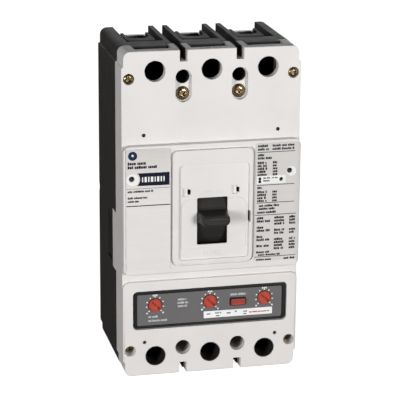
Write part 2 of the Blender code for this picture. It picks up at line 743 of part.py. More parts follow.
def make_lugs():
    for place, sign in (("line", 1), ("load", -1)):
        for index, x in enumerate(POLES, 1):
            z = sorted((sign * 102.0, sign * 123.4))
            through = sorted((sign * 95.0, sign * 130.0))
            middle = (x, sign * LUG_SCREW_Z)
            lug = block(
                f"{place}_lug_{index}", (x - 11.0, x + 11.0), (FLOOR + 1.3, 45.0), z, "aluminium", 2.0, "z", 3
            )
            cut(
                lug,
                rod("cable_hole", CABLE_RADIUS, "z", through, (x, 28.0), segments=28),
                block("cable_hole_back", (x - CABLE_RADIUS, x + CABLE_RADIUS), (11.3, 28.0), through),
                block("strap_slot", (x - 10.4, x + 10.4), (13.6, 18.4), sorted((sign * 95.0, sign * 119.4))),
                rod("thread", 5.4, "y", (28.0, 48.0), middle, segments=20),
            )
            screw = rod(f"{place}_lug_screw_{index}", 5.0, "y", (37.0, 54.0), middle, "steel", 20)
            cut(screw, rod("hex_socket", 2.9, "y", (48.0, 56.0), middle, segments=6))


# ---------------------------------------------------------------- trip unit


def make_trip_unit():
    body = block("trip_unit_housing", both_sides(TRIP_HALF), TRIP_BODY_DEPTH, TRIP_BODY_Z, "black_polyester")
    face = block("face", both_sides(TRIP_FACE_HALF), (88.0, TRIP_FACE_DEPTH), TRIP_FACE_Z, rounding=3.0)
    join(body, face)
    wall = 2.5
    inside = (TRIP_BODY_Z[0] + wall, TRIP_BODY_Z[1] - wall)
    cut(
        body,
        block("hollow", both_sides(TRIP_HALF - wall), (TRIP_BODY_DEPTH[0] - 1, 86.0), inside),
        block("latch_slot", both_sides(4.5), (44.0, 80.0), (TRIP_BODY_Z[1] - 4, TRIP_BODY_Z[1] + 2)),
        rod("button_well", 2.3, "y", (80.0, 99.0), (BUTTON_X, BUTTON_Z), segments=16),
        button_box("button_pocket", (BUTTON_DEPTH[0] - BUTTON_STROKE - GAP, 99.0), GAP),
    )
    for x in POLES:
        cut(body, rod("knob_well", 3.2, "y", (80.0, 99.0), (x, KNOB_Z), segments=20))
    face_depth = (TRIP_FACE_DEPTH + GAP, TRIP_FACE_DEPTH + GAP + PLATE_THICKNESS)
    faceplate = block(
        "trip_unit_faceplate", both_sides(58.4), face_depth, (-88.6, -62.4), "faceplate_grey", 1.2, segments=2
    )
    holes = [rod("knob_hole", KNOB_RADIUS + GAP, "y", (94.0, 99.0), (x, KNOB_Z), segments=28) for x in POLES]
    cut(faceplate, *holes, button_box("button_hole", (94.0, 99.0), 2 * GAP))
    strip_depth = (face_depth[1] + GAP, face_depth[1] + GAP + 0.5)
    block("rating_strip", (-5.0, 50.2), strip_depth, (-85.4, -79.8), "strip_white")
    for index, x in enumerate(POLES, 1):
        make_knob(f"adjust_knob_{index}", x)
    make_button()
    make_trip_bar()


def make_knob(name, x):
    knob = rod(name, KNOB_RADIUS, "y", (TRIP_FACE_DEPTH + GAP, 98.4), (x, KNOB_Z), "red_plastic", 28)
    join(knob, rod("shaft", 2.8, "y", (78.0, 97.0), (x, KNOB_Z), segments=20))
    slot = block("driver_slot", both_sides(4.0), (97.2, 100.0), both_sides(0.75))
    slot.location = (x * MM, 0.0, KNOB_Z * MM)
    slot.rotation_euler = (0.0, math.radians(40.0), 0.0)
    cut(knob, slot)
    place = Vector((x, 0.0, KNOB_Z)) * MM
    knob.data.transform(Matrix.Translation(-place))
    knob.location = place


def button_box(name, depth, margin, material_name=None, rounding=0.0):
    """A box round the push button's cap, larger than the cap by a margin."""
    half_x, half_z = (half + margin for half in BUTTON_HALF)
    x, z = (BUTTON_X - half_x, BUTTON_X + half_x), (BUTTON_Z - half_z, BUTTON_Z + half_z)
    return block(name, x, depth, z, material_name, rounding, segments=2)


def make_button():
    cap = button_box("push_to_trip_button", BUTTON_DEPTH, 0.0, "red_plastic", 0.6)
    join(cap, rod("stem", 2.0, "y", (66.6, BUTTON_DEPTH[0] + 0.5), (BUTTON_X, BUTTON_Z), segments=14))


def make_trip_bar():
    """The common bar that every bimetal, and the push button, turns to free the latch."""
    bar = rod("trip_bar", 3.4, "x", both_sides(58.6), TRIP_BAR_AXIS, "fibre", 14)
    for x in POLES:
        join(bar, block("finger", (x - 3, x + 3), (TRIP_BAR_AXIS[0], 73.0), (-84.0, -81.0)))
    join(
        bar,
        block("button_tab", (BUTTON_X - 3, BUTTON_X + 3), (63.5, 66.0), (-83.0, -70.5)),
        block("latch_arm", both_sides(3.0), (63.4, 66.4), (-82.0, -49.9)),
    )
    pivot(bar, TRIP_BAR_AXIS)


# ---------------------------------------------------------------- labels and screws


def make_labels():
    depth = (PLATEAU_FRONT + GAP, PLATEAU_FRONT + GAP + 0.3)
    left = block("label_left", (-67.2, -33.0), depth, (-41.0, 55.2), "label_film", 1.5, "y", 2)
    right = block("label_right", (33.4, 66.6), depth, (-39.5, 55.2), "label_film", 1.5, "y", 2)
    for at, radius in LABEL_HOLES:
        hole = rod("label_hole", radius + 0.05, "y", (PLATEAU_FRONT - 1, PANEL_FRONT), at, segments=16)
        cut(left if at[0] < 0 else right, hole)


def make_cover_screw(name, x, z, seat, radius):
    head = rod(name, radius, "y", (seat + GAP, seat + GAP + 2.4), (x, z), "yellow_zinc", 20, radius * 0.72)
    join(head, rod("shank", 1.9, "y", (52.0, seat + 1.0), (x, z), segments=12))
    recess = block("cross", both_sides(0.6), (seat + 1.4, seat + 4.0), both_sides(2.0))
    bar = block("cross_bar", both_sides(2.0), (seat + 1.4, seat + 4.0), both_sides(0.6))
    for cutter in (recess, bar):
        cutter.location = (x * MM, 0.0, z * MM)
    cut(head, recess, bar)


def make_cover_screws():
    places = [(side * SIDE_SCREW[0], SIDE_SCREW[1], 93.5, 3.9) for side in (-1, 1)]
    places += [(x, INNER_SCREW_Z, INNER_SEAT, 5.2) for x in BARRIERS]
    places += [(side * SIDE_SCREW[0], -SIDE_SCREW[1], 88.0, 3.8) for side in (-1, 1)]
    for index, (x, z, seat, radius) in enumerate(places, 1):
        make_cover_screw(f"cover_screw_{index}", x, z, seat, radius)


def main():
    clear_scene()
    make_base()
    make_cover()
    make_labels()
    make_cover_screws()
    make_handle()
    make_frames()
    make_cradle()
    make_links()
    make_springs()
    make_crossbar()
    make_current_path()
    make_lugs()
    make_trip_unit()


main()
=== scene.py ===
"""Looks of the molded case breaker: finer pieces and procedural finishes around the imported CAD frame.

Lengths are in millimetres and turned into metres by MM. A "depth" is a distance in front of the rear mounting
face, so depth d lies at Y = -d.
"""

import json
import math
import random

import bmesh
import bpy
from mathutils import Matrix, Vector


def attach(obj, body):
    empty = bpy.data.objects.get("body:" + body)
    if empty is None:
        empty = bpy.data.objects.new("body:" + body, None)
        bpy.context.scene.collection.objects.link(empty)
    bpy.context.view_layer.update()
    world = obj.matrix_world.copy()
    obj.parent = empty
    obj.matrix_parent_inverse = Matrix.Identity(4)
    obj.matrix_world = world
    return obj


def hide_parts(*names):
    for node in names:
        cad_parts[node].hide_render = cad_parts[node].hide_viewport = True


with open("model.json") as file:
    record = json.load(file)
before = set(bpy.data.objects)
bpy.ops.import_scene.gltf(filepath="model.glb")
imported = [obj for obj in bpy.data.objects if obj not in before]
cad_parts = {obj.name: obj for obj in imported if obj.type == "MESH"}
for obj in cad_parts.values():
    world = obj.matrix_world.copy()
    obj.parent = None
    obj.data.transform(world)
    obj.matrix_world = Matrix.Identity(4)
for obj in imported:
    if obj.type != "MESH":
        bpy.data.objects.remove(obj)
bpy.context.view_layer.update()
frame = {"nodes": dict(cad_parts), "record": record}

MM = 0.001
PAST = 2.0  # how far a cutting tool runs past the face it opens
SIDES = (-1, 1)
POLES = (-43.7, 0.0, 43.7)
BARRIERS = (-21.85, 21.85)

# The case's outline, seen from the front
HALF_WIDTH = 69.85
COVER_HALF = 69.4
HALF_HEIGHT = 128.6
END_STEP_Z = 116.3
END_INSET = 1.5
CORNER = 5.5

# Depths and heights of the cover's faces
SEAM = 71.0
BEHIND = SEAM - 1.0  # where the tools start that open the cover's back
COVER_BACK = SEAM + 0.3
PLATE_BACK = 92.5
FRONT = 96.5
TRIP_FRONT = 99.0
TRIP_ZONE_TOP = -51.6
PLATEAU_FRONT = 102.2
PLATEAU_Z = (-44.8, 57.1)
PANEL_FRONT = 104.0
SUB_PANEL = 102.3  # the recess in the handle panel
WINDOW_PANEL = 101.9  # the deeper one round the handle's window

# Terminals, chambers and screws; where the ends differ, 1 is the line end and -1 the load end
FLOOR = 5.0
CHAMBER_HALF = 19.0
CHAMBER_Z = (-51.0, 84.0)
COMPARTMENT_HALF = 14.2
COMPARTMENT_Z = {1: 88.0, -1: -101.5}
END_WALL = 6.6
CROSS_WALL = {1: (58.5, 78.6), -1: (46.8, 87.5)}
REAR_OPENING = 112.0
MOUNT_Z = 107.5
MOUNT_BORE = {1: 5.4, -1: 5.9}
LUG_SCREW_Z = 113.0
SIDE_SCREW = (63.7, 107.7)
SIDE_SEAT = {1: 93.5, -1: 88.0}
INNER_SCREW_Z = 94.6
INNER_SEAT = 90.5

# Handle, trip unit and the holes in the labels
HANDLE_AXIS = (62.0, -1.0)
HANDLE_TIP = 117.5
SHIELD_RADIUS = 38.0
SHIELD_SWEEP = 49
KNOB_Z = -71.7
PLATE_FACE = 96.9
STRIP_FACE = 97.4
LEFT_HOLE = (-62.9, 32.2)
RIGHT_HOLE = (60.5, 32.5)
PATCH_HOLE = (53.9, 25.9)
# Small dark holes in the cover, each with a recessed black pin, painted shade that darkens the hole: (X, Z),
# depth of the face, radius
DARK_PINS = (
    ((-52.3, 64.1), FRONT, 1.45),
    ((52.3, 64.1), FRONT, 1.45),
    ((-52.3, -101.3), TRIP_FRONT, 1.45),
    ((52.3, -101.3), TRIP_FRONT, 1.45),
    (LEFT_HOLE, PLATEAU_FRONT, 2.15),
    (RIGHT_HOLE, PLATEAU_FRONT, 2.05),
    (PATCH_HOLE, PLATEAU_FRONT, 1.5),
)


# ---------------------------------------------------------------- camera, floor and light

CAMERA_AT = (-0.31034, -1.38222, 0.40569)  # metres
CAMERA_TURN = (-13.21, -16.64, -0.46)  # yaw, pitch and roll in degrees
CAMERA_LENS = 162.05


def make_camera():
    yaw, pitch, roll = (math.radians(a) for a in CAMERA_TURN)
    turn = Matrix.Rotation(yaw, 3, "Z") @ Matrix.Rotation(pitch, 3, "X") @ Matrix.Rotation(roll, 3, "Y")
    right, forward, up = turn.col
    basis = Matrix((right, up, -forward)).transposed().to_4x4()
    camera = bpy.data.objects.new("camera", bpy.data.cameras.new("camera"))
    camera.data.lens = CAMERA_LENS
    camera.data.clip_end = 50.0
    camera.matrix_world = Matrix.Translation(CAMERA_AT) @ basis
    bpy.context.scene.collection.objects.link(camera)
    bpy.context.scene.camera = camera


def area_light(name, azimuth, elevation, distance, size, power):
    """A soft light that looks at the breaker; azimuth 0 is straight in front, positive to the right."""
    a, e = math.radians(azimuth), math.radians(elevation)
    light = bpy.data.lights.new(name, "AREA")
    light.shape = "RECTANGLE"
    light.size, light.size_y = size
    light.energy = power
    obj = bpy.data.objects.new(name, light)
    place = Vector((math.sin(a) * math.cos(e), -math.cos(a) * math.cos(e), math.sin(e))) * distance
    obj.location = place
    obj.rotation_euler = (-place).to_track_quat("-Z", "Y").to_euler()
    obj.visible_camera = False
    bpy.context.scene.collection.objects.link(obj)


def make_stage():
    """A pale floor that curves up into a wall all round. It is seen by the camera and lights nothing."""
    flat, bend, top, sectors = 3.6, 1.2, 4.5, 96
    turns = [math.radians(360 / sectors * i) for i in range(sectors)]
    rises = [math.radians(a) for a in range(10, 91, 10)]
    profile = [(flat, 0.0)] + [(flat + bend * math.sin(a), bend - bend * math.cos(a)) for a in rises]
    profile.append((flat + bend, top))
    bm = bmesh.new()
    centre = bm.verts.new((0.0, 0.0, 0.0))
    circles = [[(r * math.cos(t), r * math.sin(t), height) for t in turns] for r, height in profile]
    rows = [[bm.verts.new(point) for point in row] for row in circles]
    for i in range(sectors):
        j = (i + 1) % sectors
        bm.faces.new((centre, rows[0][i], rows[0][j]))
        for low, high in zip(rows, rows[1:]):
            bm.faces.new((low[i], high[i], high[j], low[j]))
    floor = link(bm, "floor")
    floor.data.shade_smooth()
    floor.location.z = -HALF_HEIGHT * MM - 0.0001
    for ray in ("visible_diffuse", "visible_glossy", "visible_transmission", "visible_shadow"):
        setattr(floor, ray, False)
    finish = Nodes("floor")
    finish.set("Base Color", (0.35, 0.35, 0.35, 1.0))
    finish.set("Roughness", 0.9)
    finish.set("Specular IOR Level", 0.1)
    finish.set("Emission Color", (1.0, 1.0, 1.0, 1.0))
    finish.set("Emission Strength", 0.97)
    floor.data.materials.append(finish.material)


def make_lights():
    world = bpy.data.worlds.new("studio")
    bpy.context.scene.world = world
    world.use_nodes = True
    background = world.node_tree.nodes["Background"]
    background.inputs["Color"].default_value = (1.0, 1.0, 1.0, 1.0)
    background.inputs["Strength"].default_value = 0.07
    area_light("key_left", -48, 6, 1.6, (0.35, 0.5), 14.6)
    area_light("key_right", 20, 7, 1.9, (0.5, 0.5), 21.8)
    area_light("rear_fill", 167, 5, 2.2, (1.6, 1.0), 9.0)
    bpy.context.scene.view_settings.view_transform = "Standard"


# ---------------------------------------------------------------- mesh tools


def link(bm, name="tool"):
    bmesh.ops.recalc_face_normals(bm, faces=bm.faces)
    mesh = bpy.data.meshes.new(name)
    bm.to_mesh(mesh)
    bm.free()
    obj = bpy.data.objects.new(name, mesh)
    bpy.context.scene.collection.objects.link(obj)
    return obj


def both(half):
    return (-half, half)


def around(middle, half):
    return (middle - half, middle + half)


def beside(side, near, far):
    """A span at one side of the middle, from its nearer to its farther edge."""
    return sorted((side * near, side * far))


def at_end(sign, inner, outer):
    """A Z span at the line end (sign 1) or the load end (sign -1)."""
    return (inner, outer) if sign > 0 else (-outer, -inner)


def in_frame(plane, a, b, c):
    """A point from its plane coordinates (a, b) and its place c across that plane."""
    if plane == "front":
        return Vector((a, -c, b)) * MM
    if plane == "side":
        return Vector((c, -a, b)) * MM
    return Vector((a, -b, c)) * MM


def skin(bm, rings):
    """Quads between rings that have the same number of points."""
    for first, second in zip(rings, rings[1:]):
        for i in range(len(first)):
            j = (i + 1) % len(first)
            bm.faces.new((first[i], first[j], second[j], second[i]))


def prism(points, span, plane="front", soften=0.0, ends=(True, True)):
    """An outline pushed along the plane's normal. Planes: front (X, Z), side (depth, Z), top (X, depth).

    Soften rounds the rims of the near and the far end, where ends says so.
    """
    bm = bmesh.new()
    rings = [[bm.verts.new(in_frame(plane, a, b, c)) for a, b in points] for c in span]
    caps = [bm.faces.new(ring) for ring in rings]
    skin(bm, rings)
    if soften:
        edges = [e for cap, wanted in zip(caps, ends) if wanted for e in cap.edges]
        bmesh.ops.recalc_face_normals(bm, faces=bm.faces)
        bmesh.ops.bevel(bm, geom=edges, offset=soften * MM, segments=3, profile=0.5, affect="EDGES")
    return link(bm)


def arc(centre, radius, start, end, steps):
    angles = [math.radians(start + (end - start) * i / steps) for i in range(steps + 1)]
    return [(centre[0] + radius * math.cos(a), centre[1] + radius * math.sin(a)) for a in angles]


def circle(centre, radius, steps):
    return arc(centre, radius, 0, 360, steps)[:-1]


def capsule(first, second, radius, steps=12):
    heading = math.degrees(math.atan2(second[1] - first[1], second[0] - first[0]))
    points = arc(second, radius, heading - 90, heading + 90, steps)
    return points + arc(first, radius, heading + 90, heading + 270, steps)


def rounded(a, b, radius, steps=6):
    """A rounded rectangle between two spans. Radius is one number, or four from the low corner round."""
    radii = radius if isinstance(radius, tuple) else (radius,) * 4
    corners = ((a[0], b[0], 180), (a[1], b[0], 270), (a[1], b[1], 0), (a[0], b[1], 90))
    points = []
    for (x, y, start), r in zip(corners, radii):
        if r <= 0:
            points.append((x, y))
            continue
        centre = (x + r if x == a[0] else x - r, y + r if y == b[0] else y - r)
        points += arc(centre, r, start, start + 90, steps)
    return points


def block(x, depth, z, radius=0.0, soften=0.0, along="y", steps=5, ends=(True, True)):
    """A box between three spans; radius rounds its four edges along depth, X or Z."""
    plane, outline, span = {
        "y": ("front", (x, z), depth),
        "x": ("side", (depth, z), x),
        "z": ("top", (x, depth), z),
    }[along]
    return prism(rounded(*outline, radius, steps), span, plane, soften, ends)


def rod(radius, depth, at, segments=48, along="y"):
    """A cylinder along depth, X or Z; at gives the two coordinates across it."""
    plane = {"y": "front", "x": "side", "z": "top"}[along]
    return prism(circle(at, radius, segments), depth, plane)


def lathe(profile, at, segments=48):
    """A (radius, depth) profile turned about a line along depth, closed where it meets that line."""
    bm = bmesh.new()
    rings = []
    for radius, depth in profile:
        points = circle(at, radius, segments) if radius > 0 else [at]
        rings.append([bm.verts.new(in_frame("front", a, b, depth)) for a, b in points])
    for first, second in zip(rings, rings[1:]):
        for i in range(segments):
            j = (i + 1) % segments
            corners = [ring[k % len(ring)] for ring, k in ((first, i), (first, j), (second, j), (second, i))]
            face = list(dict.fromkeys(corners))
            if len(face) > 2:
                bm.faces.new(face)
    return link(bm)


def merged(objects):
    """Several tools as one mesh; they must not overlap."""
    bm = bmesh.new()
    for obj in objects:
        bm.from_mesh(obj.data)
        bpy.data.objects.remove(obj, do_unlink=True)
    return link(bm)


def apply_modifiers(obj):
    bpy.context.view_layer.update()
    evaluated = obj.evaluated_get(bpy.context.evaluated_depsgraph_get())
    mesh = bpy.data.meshes.new_from_object(evaluated)
    obj.modifiers.clear()
    obj.data = mesh


def combine(target, others, operation):
    tool = merged(others)
    modifier = target.modifiers.new("boolean", "BOOLEAN")
    modifier.operation = operation
    modifier.solver = "EXACT"
    modifier.object = tool
    apply_modifiers(target)
    bpy.data.objects.remove(tool, do_unlink=True)


def cut(target, *tools):
    combine(target, tools, "DIFFERENCE")


def fuse(target, *others):
    combine(target, others, "UNION")


def keep(target, tool):
    combine(target, [tool], "INTERSECT")


def tidy(obj):
    """Joins doubled points and dissolves the edges that a boolean leaves in flat faces."""
    bm = bmesh.new()
    bm.from_mesh(obj.data)
    bmesh.ops.remove_doubles(bm, verts=bm.verts, dist=2e-6)
    bmesh.ops.dissolve_limit(
        bm, angle_limit=math.radians(1.0), verts=bm.verts, edges=bm.edges, use_dissolve_boundaries=False
    )
    bm.to_mesh(obj.data)
    bm.free()


def finished(obj, name, look, body, nodes=(), edge=0.0):
    """Rounds the sharp edges, smooths the shading and hands the piece to the frame."""
    tidy(obj)
    if edge:
        bevel = obj.modifiers.new("edge", "BEVEL")
        bevel.width = edge * MM
        bevel.segments = 2
        bevel.limit_method = "ANGLE"
        bevel.angle_limit = math.radians(32)
        bevel.use_clamp_overlap = False
        bevel.harden_normals = False
        apply_modifiers(obj)
    obj.name = obj.data.name = name
    obj.data.shade_smooth()
    obj.data.set_sharp_from_angle(angle=math.radians(38))
    weighted = obj.modifiers.new("weighted", "WEIGHTED_NORMAL")
    weighted.keep_sharp = True
    obj.data.materials.clear()
    obj.data.materials.append(LOOK[look])
    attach(obj, body)
    if nodes:
        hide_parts(*nodes)


# ---------------------------------------------------------------- finishes


class Nodes:
    """A short way to build a node tree."""

    def __init__(self, name):
        self.material = bpy.data.materials.new(name)
        self.material.use_nodes = True
        self.tree = self.material.node_tree
        self.shader = self.tree.nodes["Principled BSDF"]
        self.place = self.add("ShaderNodeTexCoord").outputs["Object"]

    def add(self, kind, **settings):
        node = self.tree.nodes.new(kind)
        for key, value in settings.items():
            setattr(node, key, value)
        return node

    def wire(self, source, target):
        self.tree.links.new(source, target)

    def stretched(self, scale):
        mapping = self.add("ShaderNodeMapping")
        mapping.inputs["Scale"].default_value = scale
        self.wire(self.place, mapping.inputs["Vector"])
        return mapping.outputs["Vector"]

    def noise(self, scale, detail=3.0, rough=0.5, vector=None, distortion=0.0):
        node = self.add("ShaderNodeTexNoise")
        node.inputs["Scale"].default_value = scale
        node.inputs["Detail"].default_value = detail
        node.inputs["Roughness"].default_value = rough
        node.inputs["Distortion"].default_value = distortion
        self.wire(vector or self.place, node.inputs["Vector"])
        return node.outputs["Fac"]

    def cells(self, scale):
        node = self.add("ShaderNodeTexVoronoi", feature="F1")
        node.inputs["Scale"].default_value = scale
        self.wire(self.place, node.inputs["Vector"])
        return node.outputs["Distance"]

    def bands(self, vector, distortion):
        node = self.add("ShaderNodeTexWave", wave_type="BANDS", bands_direction="DIAGONAL")
        node.inputs["Scale"].default_value = 900.0
        node.inputs["Distortion"].default_value = distortion
        self.wire(vector, node.inputs["Vector"])
        return node.outputs["Fac"]

    def ranged(self, value, low, high, new_low, new_high):
        node = self.add("ShaderNodeMapRange")
        node.clamp = True
        self.wire(value, node.inputs["Value"])
        for key, number in (("From Min", low), ("From Max", high), ("To Min", new_low), ("To Max", new_high)):
            node.inputs[key].default_value = number
        return node.outputs["Result"]

    def mixed(self, factor, first, second):
        node = self.add("ShaderNodeMix", data_type="RGBA", blend_type="MIX")
        self.wire(factor, node.inputs["Factor"])
        for socket, value in ((node.inputs[6], first), (node.inputs[7], second)):
            if isinstance(value, tuple):
                socket.default_value = (*value, 1.0)
            else:
                self.wire(value, socket)
        return node.outputs[2]

    def math(self, operation, first, second):
        node = self.add("ShaderNodeMath", operation=operation)
        for socket, value in zip(node.inputs, (first, second)):
            if isinstance(value, (int, float)):
                socket.default_value = value
            else:
                self.wire(value, socket)
        return node.outputs[0]

    def bump(self, height, strength, distance):
        node = self.add("ShaderNodeBump")
        node.inputs["Strength"].default_value = strength
        node.inputs["Distance"].default_value = distance
        self.wire(height, node.inputs["Height"])
        self.wire(node.outputs["Normal"], self.shader.inputs["Normal"])

    def feed(self, source, socket):
        self.wire(source, self.shader.inputs[socket])

    def set(self, socket, value):
        self.shader.inputs[socket].default_value = value


def scaled(colour, share):
    return tuple(min(1.0, c * share) for c in colour)


def molded(name, colour, rough, grain, depth, strength, speckle, specular):
    """Molded plastic: fine texture, faint flow mottling, fibre flecks and uneven gloss."""
    n = Nodes(name)
    cloud = n.ranged(n.noise(28.0, 4.0, 0.6), 0.3, 0.7, 0.0, 1.0)
    base = n.mixed(cloud, scaled(colour, 0.965), scaled(colour, 1.03))
    fleck = n.ranged(n.noise(900.0, 2.0, 0.7, n.stretched((1.0, 0.4, 0.25))), 0.62, 0.76, 0.0, speckle)
    base = n.mixed(fleck, base, scaled(colour, 1.6) if sum(colour) < 0.6 else scaled(colour, 0.72))
    n.feed(base, "Base Color")
    n.feed(n.ranged(n.noise(60.0, 3.0, 0.6), 0.3, 0.7, rough - 0.05, rough + 0.06), "Roughness")
    height = n.math("ADD", n.noise(grain, 2.0, 0.6), n.math("MULTIPLY", n.cells(grain * 0.7), 0.5))
    n.bump(height, strength, depth)
    n.set("Specular IOR Level", specular)
    return n.material


def film_surface(n, rough, specular):
    """A glued-down film's barely uneven gloss and faint ripple."""
    n.feed(n.ranged(n.noise(180.0), 0.3, 0.7, rough - 0.04, rough + 0.05), "Roughness")
    n.bump(n.noise(90.0, 2.0), 0.06, 0.0002)
    n.set("Specular IOR Level", specular)
    return n.material


def printed(name, colour, rough, specular):
    n = Nodes(name)
    cloud = n.ranged(n.noise(35.0, 3.0, 0.5), 0.3, 0.7, 0.0, 1.0)
    n.feed(n.mixed(cloud, scaled(colour, 0.97), scaled(colour, 1.03)), "Base Color")
    return film_surface(n, rough, specular)


def film(name, high, low, span):
    """A metallised film with a painted sheen: its ground goes from one tone at the first height to another at
    the second.
    """
    n = Nodes(name)
    height = n.add("ShaderNodeSeparateXYZ")
    n.wire(n.place, height.inputs[0])
    # Painted sheen: the ground's tone is set by height alone.
    sheen_fade = n.ranged(height.outputs["Z"], span[1], span[0], 0.0, 1.0)
    streak = n.noise(260.0, 3.0, 0.6, n.stretched((0.15, 1.0, 2.0)))
    shade = n.mixed(sheen_fade, low, high)
    shade = n.mixed(n.ranged(streak, 0.3, 0.7, 0.0, 0.5), shade, scaled(low, 0.9))
    n.feed(shade, "Base Color")
    return film_surface(n, 0.34, 0.45)


def ink(name, colour):
    """Printing ink, slightly uneven in colour and gloss."""
    n = Nodes(name)
    cloud = n.ranged(n.noise(1200.0, 2.0), 0.35, 0.65, 0.0, 1.0)
    n.feed(n.mixed(cloud, scaled(colour, 0.93), scaled(colour, 1.06)), "Base Color")
    n.feed(n.ranged(n.noise(500.0), 0.3, 0.7, 0.4, 0.5), "Roughness")
    n.set("Specular IOR Level", 0.12)
    return n.material


def metal(name, colour, rough, lines=(1.0, 1.0, 1.0), second=None, stain=0.2, strength=0.2):
    """Metal with drawn or brushed lines, cloudy oxide and small pits."""
    n = Nodes(name)
    cloud = n.ranged(n.noise(120.0, 5.0, 0.65, distortion=0.4), 0.35, 0.68, 0.0, 1.0)
    base = n.mixed(cloud, scaled(colour, 1.0 - stain), second or scaled(colour, 1.08))
    brush = n.noise(700.0, 4.0, 0.7, n.stretched(lines))
    base = n.mixed(n.ranged(brush, 0.35, 0.65, 0.0, 0.25), base, scaled(colour, 0.7))
    n.feed(base, "Base Color")
    n.feed(n.ranged(brush, 0.3, 0.7, rough - 0.08, rough + 0.12), "Roughness")
    pits = n.ranged(n.cells(900.0), 0.0, 0.25, 0.0, 1.0)
    n.bump(n.math("ADD", brush, n.math("MULTIPLY", pits, 0.4)), strength, 0.00004)
    n.set("Metallic", 1.0)
    return n.material


def braid(name, colour):
    """Crossing strands, as on a flat copper braid, with painted shade in the grooves between them."""
    n = Nodes(name)
    height = n.math("MAXIMUM", n.bands(n.place, 1.5), n.bands(n.stretched((-1.0, 1.0, 1.0)), 0.0))
    # Painted shade: the colour falls to a third of itself in the grooves between the strands.
    n.feed(n.mixed(height, scaled(colour, 0.35), colour), "Base Color")
    n.feed(n.ranged(height, 0.0, 1.0, 0.6, 0.35), "Roughness")
    n.bump(height, 0.8, 0.0002)
    n.set("Metallic", 1.0)
    return n.material


# Colour, roughness, texture scale, bump depth in metres, bump strength, share of flecks, specular level
MOLDED = {
    "case_black": ((0.025, 0.0225, 0.021), 0.5, 1100.0, 0.00006, 0.3, 0.10, 0.3),
    "case_grey": ((0.715, 0.69, 0.675), 0.42, 1500.0, 0.00003, 0.16, 0.05, 0.4),
    "handle_black": ((0.0255, 0.023, 0.0215), 0.4, 1300.0, 0.00003, 0.14, 0.05, 0.22),
    "shield_black": ((0.026, 0.0235, 0.022), 0.5, 1300.0, 0.00004, 0.2, 0.05, 0.07),
    "bezel_black": ((0.009, 0.0085, 0.008), 0.42, 1300.0, 0.00003, 0.16, 0.03, 0.3),
    # A dark grey that stands in for the shade on the lower bores' grey walls: painted shade.
    "bore_shade_grey": ((0.24, 0.232, 0.225), 0.55, 1100.0, 0.00005, 0.25, 0.06, 0.3),
    "red_plastic": ((0.47, 0.062, 0.035), 0.38, 1600.0, 0.00003, 0.14, 0.04, 0.45),
    "button_red": ((0.33, 0.045, 0.03), 0.4, 1600.0, 0.00003, 0.14, 0.04, 0.4),
    "fibre": ((0.33, 0.15, 0.075), 0.7, 700.0, 0.00008, 0.4, 0.3, 0.3),
}
INKS = {
    "black_ink": (0.016, 0.016, 0.018),
    "grey_ink": (0.055, 0.053, 0.052),
    "white_ink": (0.80, 0.80, 0.79),
    "pale_ink": (0.52, 0.52, 0.52),
    "navy_ink": (0.005, 0.007, 0.021),
    "blue_ink": (0.008, 0.022, 0.062),
    "red_ink": (0.45, 0.05, 0.04),
}
LOOK = {
    # Both label films are painted darker towards the top: a painted sheen.
    "label_film": film("label_film", (0.56, 0.535, 0.52), (0.73, 0.70, 0.68), (0.055, 0.015)),
    "label_pale": film("label_pale", (0.60, 0.58, 0.565), (0.64, 0.615, 0.60), (0.05, -0.03)),
    "faceplate": printed("faceplate", (0.138, 0.134, 0.136), 0.45, 0.18),
    "strip": printed("strip", (0.86, 0.86, 0.86), 0.4, 0.5),
    "zinc": metal("zinc", (0.36, 0.27, 0.14), 0.2, second=(0.46, 0.34, 0.2), stain=0.3, strength=0.06),
    "steel": metal("steel", (0.47, 0.46, 0.45), 0.34, (1.0, 1.0, 0.12)),
    "bright": metal("bright", (0.50, 0.49, 0.485), 0.34, (1.0, 1.0, 0.1), stain=0.12),
    "copper": metal("copper", (0.74, 0.36, 0.22), 0.34, (1.0, 1.0, 0.08), second=(0.66, 0.28, 0.15)),
    "bimetal": metal("bimetal", (0.50, 0.47, 0.40), 0.36, (0.1, 1.0, 1.0)),
    "braid": braid("braid", (0.62, 0.30, 0.17)),
}
LOOK |= {name: molded(name, *settings) for name, settings in MOLDED.items()}
LOOK |= {name: ink(name, colour) for name, colour in INKS.items()}

# The finish that stands for each of the record's material slots
NODE_LOOK = {
    "steel": "steel",
    "copper": "copper",
    "braid": "braid",
    "bimetal": "bimetal",
    "fibre": "fibre",
    "case_black": "case_black",
    "case_grey": "case_grey",
    "handle_black": "handle_black",
    "aluminium": "bright",
    "yellow_zinc": "zinc",
    "red_plastic": "red_plastic",
    "faceplate_grey": "faceplate",
    "strip_white": "strip",
    "label_film": "label_film",
}


def dress_nodes():
    """Every CAD node that stays visible takes the finish of its slot."""
    slots = {s["node"]: s["material_slot"] for s in frame["record"]["subparts"]}
    for name, obj in frame["nodes"].items():
        look = LOOK[NODE_LOOK[slots[name]]]
        obj.data.materials.clear()
        obj.data.materials.append(look)


# ---------------------------------------------------------------- molded case


def case_outline(half):
    """The front outline of base and cover: rounded ends, a little narrower beyond the end steps."""
    inner = half - END_INSET
    step = END_STEP_Z + END_INSET / 2
    top, low = HALF_HEIGHT - CORNER, CORNER - HALF_HEIGHT
    points = [(half, -END_STEP_Z), (half, END_STEP_Z), (inner, step)]
    points += arc((inner - CORNER, top), CORNER, 0, 90, 8)
    points += arc((CORNER - inner, top), CORNER, 90, 180, 8)
    points += [(-inner, step), (-half, END_STEP_Z), (-half, -END_STEP_Z), (-inner, -step)]
    points += arc((CORNER - inner, low), CORNER, 180, 270, 8)
    points += arc((inner - CORNER, low), CORNER, 270, 360, 8)
    return points + [(inner, -step)]


